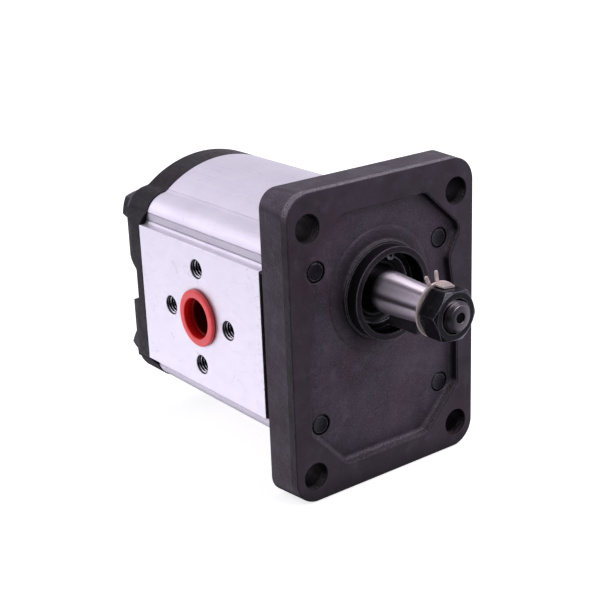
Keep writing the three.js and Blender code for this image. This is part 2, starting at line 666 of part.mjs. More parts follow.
function shaftNut() {
  const hex = slab(hexagon(NUT_FLATS, NUT_TURN_DEG), NUT_FRONT_Y, NUT_BACK_Y);
  const cornerR = NUT_FLATS / Math.sqrt(3) + 0.05;
  const boreR = THREAD_R + 0.06;
  const bore = turned([
    [0, NUT_FRONT_Y - PAST], [boreR + NUT_COUNTERSINK + PAST, NUT_FRONT_Y - PAST],
    [boreR, NUT_FRONT_Y + NUT_COUNTERSINK], [boreR, NUT_BACK_Y + PAST], [0, NUT_BACK_Y + PAST],
  ]);
  return hex.intersect(hexChamferForm(NUT_FRONT_Y, NUT_BACK_Y, cornerR)).subtract(bore);
}

// A prong standing out from the washer's rim, in the direction given.
function prong(angleDeg, frontY, backY) {
  const rootR = TAB_WASHER_R - 1;
  const geometry = new THREE.BoxGeometry(PRONG_TIP_R - rootR, backY - frontY, PRONG_WIDTH);
  geometry.translate((PRONG_TIP_R + rootR) / 2, (frontY + backY) / 2, 0);
  geometry.rotateY(-THREE.MathUtils.degToRad(angleDeg));
  return solid(geometry);
}

// The locking washer behind the nut, with two prongs and a lug bent forward onto one of the nut's flats.
function tabWasher() {
  const frontY = NUT_BACK_Y + 0.1;
  const backY = frontY + TAB_WASHER_THICKNESS;
  const lugFrontY = NUT_BACK_Y - LUG_REACH;
  const lug = new THREE.BoxGeometry(TAB_WASHER_THICKNESS, backY - lugFrontY, LUG_WIDTH);
  lug.translate(NUT_FLATS / 2 + 0.15 + TAB_WASHER_THICKNESS / 2, (lugFrontY + backY) / 2, 0);
  lug.rotateY(-THREE.MathUtils.degToRad(NUT_TURN_DEG + 90));
  const disc = bar(TAB_WASHER_R, frontY, backY, MEDIUM, 0, TAB_WASHER_RISE);
  const prongs = PRONG_ANGLES_DEG.map((angleDeg) => prong(angleDeg, frontY, backY));
  const body = joined([disc, ...prongs, solid(lug)]);
  return body.subtract(bar(THREAD_R + 0.3, frontY - PAST, backY + PAST));
}

// ---- Through bolts ----

// A bolt put in from the rear cover; its tip shows just behind the floor of the flange's recess.
function throughBolt(x, z, headTurnDeg) {
  const seatY = COVER_BACK_Y + WASHER_THICKNESS;
  const tipY = RECESS_DEPTH + 0.2;
  const shank = turned([
    [0, tipY], [BOLT_TIP_R, tipY], [BOLT_R, tipY + 1], [BOLT_R, seatY + PAST], [0, seatY + PAST],
  ], COARSE);
  const headR = BOLT_HEAD_FLATS / Math.sqrt(3) + 0.05;
  const head = slab(hexagon(BOLT_HEAD_FLATS, headTurnDeg), seatY, seatY + BOLT_HEAD_HEIGHT)
    .intersect(hexChamferForm(seatY - 2, seatY + BOLT_HEAD_HEIGHT, headR));
  return shank.add(head).translate([x, 0, z]);
}

// ---- Transit plugs ----

// A plastic cup with a rim that rests on the port's pad, drawn along Y and then turned to face outwards.
function transitPlug(port) {
  const outerR = port.boreR - PLUG_CLEARANCE;
  const innerR = outerR - PLUG_WALL;
  const rimY = -PLUG_RIM_THICKNESS - PLUG_RIM_GAP;
  const profile = [
    [0, PLUG_DEPTH - PLUG_WALL], [innerR, PLUG_DEPTH - PLUG_WALL], [innerR, rimY + 0.4],
    [innerR + 0.4, rimY], [port.rimR - 0.5, rimY], [port.rimR, rimY + 0.5], [port.rimR, -PLUG_RIM_GAP],
    [outerR, -PLUG_RIM_GAP], [outerR, PLUG_DEPTH - 0.8], [outerR - 0.8, PLUG_DEPTH], [0, PLUG_DEPTH],
  ];
  const points = profile.map(([r, y]) => new THREE.Vector2(r, y));
  const geometry = new THREE.LatheGeometry(points, MEDIUM);
  geometry.rotateZ(port.side < 0 ? -Math.PI / 2 : Math.PI / 2);
  geometry.translate(port.side * PAD_X, PORT_Y, MID_Z);
  return solid(geometry);
}

// ---- Assembly ----

const REAR_BLOCK_SEAL_Y = REAR_BLOCK_Y + BLOCK_LENGTH;

addPiece('front_flange', frontFlange(), CAST_IRON);
addPiece('gear_housing', gearHousing(), ALUMINIUM);
addPiece('rear_cover', rearCover(), CAST_IRON);
addPiece('drive_gear_shaft', driveGearShaft(), STEEL);
addPiece('driven_gear_shaft', drivenGearShaft(), STEEL);
addPiece('bearing_block_front', bearingBlock(BLOCK_FRONT_Y, BLOCK_FRONT_Y), ALUMINIUM);
addPiece('bearing_block_rear', bearingBlock(REAR_BLOCK_Y, REAR_BLOCK_SEAL_Y), ALUMINIUM);

addPiece('bush_drive_front', bush(BLOCK_FRONT_Y, 0), BRONZE);
addPiece('bush_drive_rear', bush(REAR_BLOCK_Y, 0), BRONZE);
addPiece('bush_driven_front', bush(BLOCK_FRONT_Y, DRIVEN_Z), BRONZE);
addPiece('bush_driven_rear', bush(REAR_BLOCK_Y, DRIVEN_Z), BRONZE);

const balanceBands = [
  ['front', BLOCK_FRONT_Y, BLOCK_FRONT_Y + BALANCE_GROOVE_DEPTH - SEAL_FIT],
  ['rear', REAR_BLOCK_SEAL_Y - BALANCE_GROOVE_DEPTH + SEAL_FIT, REAR_BLOCK_SEAL_Y],
];
balanceBands.forEach(([place, frontY, backY]) => {
  addPiece(`pressure_seal_${place}`, threeBand(BALANCE_SEAL_RADII, frontY, backY), RUBBER);
  addPiece(`backup_ring_${place}`, threeBand(BACKUP_RING_RADII, frontY, backY), WHITE_PLASTIC);
});

addPiece('housing_seal_front', faceSeal(HOUSING_FRONT_Y - FACE_SEAL_GROOVE + SEAL_FIT), RUBBER);
addPiece('housing_seal_rear', faceSeal(HOUSING_BACK_Y), RUBBER);
addPiece('shaft_lip_seal', lipSeal(), RUBBER);
addPiece('seal_garter_spring', garterSpring(), STEEL);
addPiece('snap_ring', snapRing(), ZINC);

boltPlaces.forEach(([x, z], i) => {
  addPiece(`through_bolt_${i + 1}`, throughBolt(x, z, BOLT_HEAD_TURNS_DEG[i]), BLACK_STEEL);
  addPiece(`bolt_washer_${i + 1}`, ring(BOLT_R + 0.2, WASHER_R, COVER_BACK_Y,
    COVER_BACK_Y + WASHER_THICKNESS, MEDIUM, x, z), ZINC);
});

dowelPlaces.forEach(([x, z], i) => {
  [['front', HOUSING_FRONT_Y], ['rear', HOUSING_BACK_Y]].forEach(([place, y]) => {
    addPiece(`dowel_${place}_${i + 1}`, bar(DOWEL_R, y - DOWEL_REACH, y + DOWEL_REACH, COARSE, x, z), STEEL);
  });
});

addPiece('woodruff_key', keyForm(0), BLACK_STEEL);
addPiece('tab_washer', tabWasher(), ZINC);
addPiece('shaft_nut', shaftNut(), BLACK_STEEL);
addPiece('inlet_plug', transitPlug(INLET), RED_PLASTIC);
addPiece('outlet_plug', transitPlug(OUTLET), RED_PLASTIC);

const part = new THREE.Group();
pump.position.z = DRIVE_AXIS_HEIGHT;
part.add(pump);

export default part;
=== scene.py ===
import json
import math

import bmesh
import bpy
from mathutils import Matrix, Vector


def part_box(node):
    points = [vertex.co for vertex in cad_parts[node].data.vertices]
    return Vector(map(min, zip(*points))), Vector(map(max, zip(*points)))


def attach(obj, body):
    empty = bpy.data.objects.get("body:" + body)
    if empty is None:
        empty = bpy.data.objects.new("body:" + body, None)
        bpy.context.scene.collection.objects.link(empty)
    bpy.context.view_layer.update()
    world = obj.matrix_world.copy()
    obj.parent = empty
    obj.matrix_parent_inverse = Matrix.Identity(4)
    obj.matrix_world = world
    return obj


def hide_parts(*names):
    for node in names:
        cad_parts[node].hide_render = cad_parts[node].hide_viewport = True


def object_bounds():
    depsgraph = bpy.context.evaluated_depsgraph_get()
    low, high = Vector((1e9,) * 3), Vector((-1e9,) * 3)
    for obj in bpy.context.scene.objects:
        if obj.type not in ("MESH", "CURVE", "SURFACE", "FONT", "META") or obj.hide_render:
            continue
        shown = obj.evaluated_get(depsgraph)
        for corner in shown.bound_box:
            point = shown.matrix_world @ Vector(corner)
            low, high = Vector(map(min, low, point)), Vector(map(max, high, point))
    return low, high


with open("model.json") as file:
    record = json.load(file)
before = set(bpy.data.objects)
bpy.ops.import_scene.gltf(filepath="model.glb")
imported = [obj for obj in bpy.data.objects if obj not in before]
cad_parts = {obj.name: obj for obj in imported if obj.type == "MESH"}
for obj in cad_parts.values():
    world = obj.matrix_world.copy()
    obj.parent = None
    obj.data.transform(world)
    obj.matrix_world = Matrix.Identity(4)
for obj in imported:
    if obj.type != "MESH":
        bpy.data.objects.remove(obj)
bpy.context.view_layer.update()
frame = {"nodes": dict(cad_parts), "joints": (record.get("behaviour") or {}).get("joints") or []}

# Shapes are drawn in millimetres with the drive shaft's axis on x = 0, z = 0, and y = 0 on the flange's
# mounting face. to_frame() puts them in the frame, in metres.

MM = 0.001
JOINTS = {joint["name"]: joint for joint in frame["joints"]}
DRIVE_HEIGHT = JOINTS["drive_shaft_spin"]["pos_m"][2]
DRIVEN_Z = (JOINTS["driven_shaft_spin"]["pos_m"][2] - DRIVE_HEIGHT) / MM
MID_Z = DRIVEN_Z / 2


def box_mm(node):
    """A CAD node's low and high corners, in millimetres from the drive shaft's axis."""
    low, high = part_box(node)
    lift = Vector((0, 0, DRIVE_HEIGHT))
    return (low - lift) / MM, (high - lift) / MM


def to_frame(point):
    return Vector((point[0] * MM, point[1] * MM, point[2] * MM + DRIVE_HEIGHT))


# ---- Sizes, from the CAD nodes where they have them ----

FLANGE_LOW, FLANGE_HIGH = box_mm("front_flange")
HOUSING_LOW, HOUSING_HIGH = box_mm("gear_housing")
COVER_LOW, COVER_HIGH = box_mm("rear_cover")
SHAFT_LOW, SHAFT_HIGH = box_mm("drive_gear_shaft")
NUT_LOW, NUT_HIGH = box_mm("shaft_nut")
WASHER_HIGH = box_mm("tab_washer")[1]
KEY_LOW, KEY_HIGH = box_mm("woodruff_key")
SNAP_LOW, SNAP_HIGH = box_mm("snap_ring")
SEAL_LOW, SEAL_HIGH = box_mm("shaft_lip_seal")
FRONT_BLOCK_HIGH = box_mm("bearing_block_front")[1]
REAR_BLOCK_LOW = box_mm("bearing_block_rear")[0]

FLANGE_BACK_Y = 16.4
FLANGE_CORNER_R = 10.0
FLANGE_CORNER_DRAFT = 2.6
FLANGE_HOLE_R = 5.25
FLANGE_HOLE_X = 35.75
FLANGE_HOLE_Z = 48.1
RECESS_DEPTH = 3.4
PILOT_R = 18.07
SEAL_BORE_R = 15.39
SNAP_GROOVE_R = 16.0

BOLT_PITCH = 30.0
BOLT_R = 4.0
LOBE_X = 29.3
LOBE_Z = 30.6
CROWN_R = 47.0
CROWN_CENTRE_Z = HOUSING_HIGH.z - MID_Z - CROWN_R
PAD_X = HOUSING_HIGH.x
PAD_Z = 29.3
PORT_Y = sum(corner.y for corner in box_mm("inlet_plug")) / 2
INLET_HOLES = {"major": 4.0, "minor": 3.15, "pitch": 1.25, "circle": 20.0, "depth": 15.0}
OUTLET_HOLES = {"major": 3.0, "minor": 2.35, "pitch": 1.0, "circle": 15.0, "depth": 12.0}

JOURNAL_R = 9.0
THREAD_R = 5.9
TAPER_SMALL_Y = -25.0
TAPER_BIG_Y = 3.0
TAPER_BIG_R = 8.38
TAPER_SLOPE = 1 / 16


# ---- Outlines in x and z ----


def polar(radius, degrees):
    return radius * math.cos(math.radians(degrees)), radius * math.sin(math.radians(degrees))


def arc(centre_x, centre_z, radius, start, end, steps):
    """Points on a circle between two angles in degrees."""
    points = []
    for i in range(steps + 1):
        angle = math.radians(start + (end - start) * i / steps)
        points.append((centre_x + radius * math.cos(angle), centre_z + radius * math.sin(angle)))
    return points


def filleted(corners, steps):
    """A closed outline from (x, z, radius) corners, each rounded by its radius."""
    points = []
    for i, (x, z, radius) in enumerate(corners):
        here = Vector((x, z))
        before = (Vector(corners[i - 1][:2]) - here).normalized()
        after = (Vector(corners[(i + 1) % len(corners)][:2]) - here).normalized()
        half = before.angle(after) / 2
        centre = here + (before + after).normalized() * (radius / math.sin(half))
        start = here + before * (radius / math.tan(half)) - centre
        end = here + after * (radius / math.tan(half)) - centre
        first = math.atan2(start.y, start.x)
        sweep = (math.atan2(end.y, end.x) - first + math.pi) % (2 * math.pi) - math.pi
        for k in range(steps + 1):
            angle = first + sweep * k / steps
            points.append((centre.x + radius * math.cos(angle), centre.y + radius * math.sin(angle)))
    return points


def four_quarters(quarter):
    """Mirrors one quarter, listed from the +x side to the top, into all four quarters about MID_Z."""
    back = quarter[::-1]
    whole = list(quarter)
    whole += [(-x, z) for x, z in back]
    whole += [(-x, -z) for x, z in quarter]
    whole += [(x, -z) for x, z in back]
    kept = []
    for point in whole:
        if not kept or math.dist(point, kept[-1]) > 1e-4:
            kept.append(point)
    if math.dist(kept[0], kept[-1]) < 1e-4:
        kept.pop()
    return [(x, z + MID_Z) for x, z in kept]


def crown_and_lobe(lobe_r, lobe_start, blend_r, crease=0.0):
    """The lobe round a bolt, a concave blend and half the crown, as points from the lobe to the top.

    A crease is a fine line as deep as that where the crown begins.
    """
    centre_gap = math.hypot(LOBE_X, LOBE_Z - CROWN_CENTRE_Z)
    to_blend = CROWN_R + blend_r
    lobe_to_blend = lobe_r + blend_r
    cosine = (to_blend**2 + centre_gap**2 - lobe_to_blend**2) / (2 * to_blend * centre_gap)
    lobe_way = math.atan2(LOBE_Z - CROWN_CENTRE_Z, LOBE_X)
    blend_way = lobe_way + math.acos(cosine)
    blend_x = to_blend * math.cos(blend_way)
    blend_z = CROWN_CENTRE_Z + to_blend * math.sin(blend_way)
    lobe_end = math.degrees(math.atan2(blend_z - LOBE_Z, blend_x - LOBE_X))
    crown_end = math.degrees(blend_way)
    return (
        arc(LOBE_X, LOBE_Z, lobe_r, lobe_start, lobe_end, 14)
        + arc(blend_x, blend_z, blend_r, lobe_end + 180, crown_end + 180, 6)[1:]
        + arc(0, CROWN_CENTRE_Z, CROWN_R - crease, crown_end + 0.22, crown_end + 0.3, 1)
        + arc(0, CROWN_CENTRE_Z, CROWN_R, crown_end + 0.5, 90, 24)
    )


def housing_outline():
    """The extruded section: pad, ledge, small ridge, fine groove, tilted flat band, lobe and crown."""
    steps = [
        (0, -0.2), (-0.15, -0.05), (-1.85, -0.1), (-2.25, 0.0), (-2.85, 0.3), (-3.1, 0.5), (-3.2, 0.65),
        (-3.4, 1.05), (-3.55, 1.3), (-3.78, 1.35), (-3.82, 1.55), (-3.72, 1.75), (-4.4, 4.05), (-4.62, 4.12),
        (-4.62, 4.35),
    ]
    side = [(PAD_X, 0.0)] + [(PAD_X + dx, PAD_Z + dz) for dx, dz in steps]
    return four_quarters(side + crown_and_lobe(9.9, 19, 4.0, 0.14))


def cover_outline():
    """The cover's section: like the housing's, with fuller lobes and no cove."""
    side = [(PAD_X, 0.0), (PAD_X, PAD_Z - 7), (PAD_X, PAD_Z - 0.8), (PAD_X - 0.35, PAD_Z + 0.3)]
    side += [(PAD_X - 1.1, PAD_Z + 1.4), (PAD_X - 2.3, PAD_Z + 3.0)]
    return four_quarters(side + crown_and_lobe(10.3, 18, 4.0))


def recess_outline():
    """The shallow recess in the flange's face, which bulges round the two upper bolts."""
    right = [
        (20.4, -48.2, 4.0), (36.7, -31.0, 4.0), (36.4, -4.0, 40.0),
        (32.3, 22.3, 7.0), (38.7, 33.8, 5.0), (20.2, 50.4, 5.0),
    ]
    left = [(-x, z, radius) for x, z, radius in right[::-1]]
    return [(x, z + MID_Z) for x, z in filleted(right + left, 10)]


def rounded_rectangle(width, height, corner_r):
    x = width / 2 - corner_r
    z = height / 2 - corner_r
    return four_quarters(arc(x, z, corner_r, 0, 90, 14))


def stadium(radius):
    return arc(0, 0, radius, 0, 180, 40) + arc(0, DRIVEN_Z, radius, 180, 360, 40)


def hexagon(across_flats, turn):
    return arc(0, 0, across_flats / math.sqrt(3), turn, turn + 300, 5)


# ---- Shapes as (points, faces) ----


def inset(outline, depths):
    """An anticlockwise outline moved inwards, by one distance or by one for each point."""
    count = len(outline)
    each = depths if isinstance(depths, list) else [depths] * count
    moved = []
    for i in range(count):
        before = Vector(outline[i]) - Vector(outline[i - 1])
        after = Vector(outline[(i + 1) % count]) - Vector(outline[i])
        first = Vector((-before.y, before.x)).normalized()
        second = Vector((-after.y, after.x)).normalized()
        shift = (first + second) / (1 + first.dot(second)) * each[i]
        moved.append((outline[i][0] + shift.x, outline[i][1] + shift.y))
    return moved


def loft(rings):
    """A closed shape through rings of the same number of points, with flat ends."""
    count = len(rings[0])
    points = [point for ring in rings for point in ring]
    faces = [list(range(count))[::-1]]
    for k in range(len(rings) - 1):
        for i in range(count):
            j = (i + 1) % count
            faces.append([k * count + i, k * count + j, (k + 1) * count + j, (k + 1) * count + i])
    faces.append([(len(rings) - 1) * count + i for i in range(count)])
    return points, faces


def prism(outline, levels):
    """An outline carried along y through (y, inset) levels."""
    rings = []
    for y, depth in levels:
        rings.append([(x, y, z) for x, z in inset(outline, depth)])
    return loft(rings)


def round_levels(front_y, back_y, front_r, back_r, steps=4):
    """Levels for prism() that round the front and back rims."""
    front = arc(front_y + front_r, front_r, front_r, 180, 270, steps)
    return front + arc(back_y - back_r, back_r, back_r, -90, 0, steps)


def lathe(profile, steps):
    """(radius, y) pairs turned about the y axis. It starts and ends on the axis, or closes on itself."""
    looped = profile[0][0] > 1e-6
    points = []
    rings = []
    for radius, y in profile:
        if radius < 1e-6:
            rings.append([len(points)] * steps)
            points.append((0.0, y, 0.0))
            continue
        rings.append(list(range(len(points), len(points) + steps)))
        for i in range(steps):
            angle = 2 * math.pi * i / steps
            points.append((radius * math.cos(angle), y, radius * math.sin(angle)))
    pairs = list(zip(rings, rings[1:]))
    if looped:
        pairs.append((rings[-1], rings[0]))
    faces = []
    for low, high in pairs:
        for i in range(steps):
            j = (i + 1) % steps
            corners = [low[i], low[j], high[j], high[i]]
            face = [corner for k, corner in enumerate(corners) if corner != corners[k - 1]]
            if len(face) > 2:
                faces.append(face)
    return points, faces


def rod(radius, low_y, high_y, steps):
    return lathe([(0, low_y), (radius, low_y), (radius, high_y), (0, high_y)], steps)


def screw(major_r, minor_r, pitch, low_y, high_y, steps, rows_per_turn):
    """A rod with a V thread along y."""
    rows = max(2, round((high_y - low_y) / pitch * rows_per_turn))
    rings = []
    for k in range(rows + 1):
        y = low_y + (high_y - low_y) * k / rows
        ring = []
        for i in range(steps):
            turn = i / steps
            wave = 1 - abs(2 * ((y / pitch - turn) % 1) - 1)
            height = min(1.0, max(0.0, (wave - 0.12) / 0.76))
            radius = minor_r + (major_r - minor_r) * height
            ring.append((radius * math.cos(2 * math.pi * turn), y, radius * math.sin(2 * math.pi * turn)))
        rings.append(ring)
    return loft(rings)


def moved(shape, x=0.0, y=0.0, z=0.0):
    points, faces = shape
    return [(px + x, py + y, pz + z) for px, py, pz in points], faces


# ---- Objects ----

SHARP_DEGREES = 28


def new_object(name, shape):
    points, faces = shape
    mesh = bpy.data.meshes.new(name)
    mesh.from_pydata([to_frame(point) for point in points], [], faces)
    editable = bmesh.new()
    editable.from_mesh(mesh)
    bmesh.ops.recalc_face_normals(editable, faces=editable.faces)
    editable.to_mesh(mesh)
    editable.free()
    piece = bpy.data.objects.new(name, mesh)
    bpy.context.scene.collection.objects.link(piece)
    return piece


def merge(piece, tool, operation):
    """Changes a piece by another object and removes that object."""
    change = piece.modifiers.new("merge", "BOOLEAN")
    change.solver = "MANIFOLD"
    change.operation = operation
    change.object = tool
    graph = bpy.context.evaluated_depsgraph_get()
    result = bpy.data.meshes.new_from_object(piece.evaluated_get(graph))
    piece.modifiers.clear()
    old = piece.data
    piece.data = result
    bpy.data.meshes.remove(old)
    bpy.data.meshes.remove(tool.data)
    return piece


def combine(piece, shapes, operation):
    """Joins shapes to a piece or cuts them from it, one after another."""
    for shape in shapes:
        merge(piece, new_object("tool", shape), operation)
    return piece


def cut(piece, shapes):
    return combine(piece, shapes, "DIFFERENCE")


def join(piece, shapes):
    return combine(piece, shapes, "UNION")


def dress(piece, look):
    """Gives a piece the material of a look, which is a material and the name of its slot."""
    piece.data.materials.clear()
    piece.data.materials.append(look[0])


def finished(piece, look, body, node):
    """Smooth shading, a look, and the place of the piece in the frame."""
    piece.data.shade_smooth()
    piece.data.set_sharp_from_angle(angle=math.radians(SHARP_DEGREES))
    weighted = piece.modifiers.new("even_normals", "WEIGHTED_NORMAL")
    weighted.keep_sharp = True
    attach(piece, body)
    dress(piece, look)
    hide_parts(node)
    return piece


# ---- Materials ----

# Object coordinates start at the frame's origin, so heights in materials are counted from there.
DRIVE_Z = DRIVE_HEIGHT / MM
PORT_Z = DRIVE_Z + MID_Z
BLACK = (0.0, 0.0, 0.0, 1.0)
WHITE = (1.0, 1.0, 1.0, 1.0)
IRON_TINT = (1.0, 0.84, 1.1)
STEEL_TINT = (1.0, 0.9, 1.01)
BRONZE_TINT = (1.15, 0.85, 0.45)


class Value:
    """An output of a shader node. Sums with it add nodes to the same tree."""

    def __init__(self, socket):
        self.socket = socket
        self.tree = socket.id_data

    def maths(self, operation, other=0.0):
        return add(self.tree, "Math", {0: self, 1: other}, operation=operation)

    def __add__(self, other):
        return self.maths("ADD", other)

    def __sub__(self, other):
        return self.maths("SUBTRACT", other)

    def __rsub__(self, other):
        return self * -1.0 + other

    def __mul__(self, other):
        return self.maths("MULTIPLY", other)

    def __abs__(self):
        return self.maths("ABSOLUTE")


def add(tree, kind, inputs=None, output=0, **settings):
    """Adds a shader node, whose inputs are given as values to link or as plain ones."""
    node = tree.nodes.new("ShaderNode" + kind)
    for key, value in settings.items():
        setattr(node, key, value)
    feed(node, inputs or {})
    return Value(node.outputs[output])


def feed(node, inputs):
    for key, value in inputs.items():
        if isinstance(value, Value):
            node.id_data.links.new(value.socket, node.inputs[key])
        else:
            node.inputs[key].default_value = value


def material(name, build, *options):
    """A material whose shader settings are made by a function of its node tree."""
    made = bpy.data.materials.new(name)
    made.use_nodes = True
    feed(made.node_tree.nodes["Principled BSDF"], build(made.node_tree, *options))
    return made


def make_look(slot, name, build, *options):
    return material(name, build, *options), slot


def stretched(tree, scale):
    """Object coordinates in millimetres, each multiplied by a scale."""
    place = add(tree, "TexCoord", output="Object")
    per_mm = tuple(value / MM for value in scale)
    return add(tree, "VectorMath", {0: place, 1: per_mm}, operation="MULTIPLY")


def along(tree, axis):
    """One object coordinate in millimetres; y is 0 on the flange's mounting face."""
    return add(tree, "SeparateXYZ", {0: stretched(tree, (1, 1, 1))}, axis)


def facing(tree, axis):
    """One part of the surface's direction, from -1 to 1."""
    return add(tree, "SeparateXYZ", {0: add(tree, "NewGeometry", output="Normal")}, axis)


def noise(tree, scale, detail, roughness):
    """Noise with a number of features per millimetre, which is one for all axes or one for each."""
    each = scale if isinstance(scale, tuple) else (scale, scale, scale)
    settings = {"Vector": stretched(tree, each), "Scale": 1.0, "Detail": detail, "Roughness": roughness}
    return add(tree, "TexNoise", settings, "Fac")


def spread(value, low, high, to_low=0.0, to_high=1.0):
    """A range of a value carried to another range, with no overshoot."""
    settings = {0: value, 1: low, 2: high, 3: to_low, 4: to_high}
    return add(value.tree, "MapRange", settings, clamp=True)


def scaled(share, at_none, at_full):
    """A factor that runs from one value where a share is 0 to another where it is 1."""
    return spread(share, 0.0, 1.0, at_none, at_full)


def between(value, low, high, blur):
    """Near 1 where a value lies between two limits."""
    return spread(value, low - blur, low + blur) * spread(value, high - blur, high + blur, 1.0, 0.0)


def mixed(share, first, second):
    """A colour between two, each a value or a plain colour."""
    return add(share.tree, "Mix", {0: share, 6: first, 7: second}, 2, data_type="RGBA")


def dimmed(colour, factor):
    """A colour multiplied by a factor."""
    return mixed(factor, BLACK, colour)


def grey(value, tint=(1.0, 0.93, 1.06)):
    return (value * tint[0], value * tint[1], value * tint[2], 1.0)


def hypotenuse(first, second):
    pair = add(first.tree, "CombineXYZ", {0: first, 1: second})
    return add(first.tree, "VectorMath", {0: pair}, "Value", operation="LENGTH")


def away(tree, axis, middle):
    """How far a point is from a middle value along one axis, in millimetres."""
    return abs(along(tree, axis) - middle)


def from_axis(tree, first, first_centre, second, second_centre):
    """Distance in millimetres from a line, given the two axes across it and where it crosses them."""
    return hypotenuse(away(tree, first, first_centre), away(tree, second, second_centre))


def bump(height, depth_mm):
    return add(height.tree, "Bump", {"Height": height, "Distance": depth_mm * MM}, "Normal")


def edge_share(tree, radius_mm, low, high):
    """Near 1 along sharp edges and 0 on open surfaces."""
    soft = add(tree, "Bevel", {"Radius": radius_mm * MM}, samples=4)
    true_normal = add(tree, "NewGeometry", output="Normal")
    agree = add(tree, "VectorMath", {0: soft, 1: true_normal}, "Value", operation="DOT_PRODUCT")
    return spread(1.0 - agree, low, high)


def painted_cavity_shade(tree, reach_mm, low, high, dark):
    """A factor of painted shade that falls from 1 in the open to a low value in holes and creases."""
    openness = add(tree, "AmbientOcclusion", {"Distance": reach_mm * MM}, "AO", samples=6)
    return spread(openness, low, high, dark, 1.0)


def cast_iron_colour(tree, base, grain, speck_share):
    """A mottled black coating, browner in places, with pale specks."""
    mottle = noise(tree, 0.07, 4.0, 0.6)
    warm = noise(tree, 0.045, 3.0, 0.6)
    patch = noise(tree, 0.16, 5.0, 0.65)
    fine = noise(tree, 3.4, 2.0, 0.6)
    colour = mixed(spread(mottle, 0.32, 0.68), grey(base * 0.68, IRON_TINT), grey(base * 1.35, IRON_TINT))
    colour = mixed(spread(warm, 0.42, 0.66) * 0.5, colour, grey(base, (1.3, 0.62, 0.95)))
    colour = mixed(spread(patch, 0.54, 0.72) * 0.3, colour, grey(base * 3.0, (1.0, 0.86, 1.08)))
    dust = spread(fine, 0.62, 0.7) * 0.35 * speck_share
    colour = mixed(dust, colour, grey(base * 4.0, IRON_TINT))
    specks = spread(grain, 0.52, 0.72) * speck_share
    return mixed(specks, colour, grey(base * 3.0, IRON_TINT))


def beyond_outline(tree):
    """How far a point is outside the flange's side faces, in millimetres; it is negative inside them."""
    middle = (FLANGE_LOW.z + FLANGE_HIGH.z) / 2
    sideways = away(tree, "X", 0.0) - FLANGE_HIGH.x
    upwards = away(tree, "Z", DRIVE_Z + middle) - (FLANGE_HIGH.z - middle)
    return sideways.maths("MAXIMUM", upwards)


def recess_walls(tree, y):
    """Shares that mark the recess's walls, for painted light on those that face up, then painted shade on the
    others.
    """
    upward = spread(facing(tree, "Z"), 0.0, 0.45)
    steep = spread(abs(facing(tree, "Y")), 0.55, 0.9, 1.0, 0.0)
    wall = between(y, 0.45, RECESS_DEPTH + 0.1, 0.1) * steep
    return wall * upward, wall * (1.0 - upward)


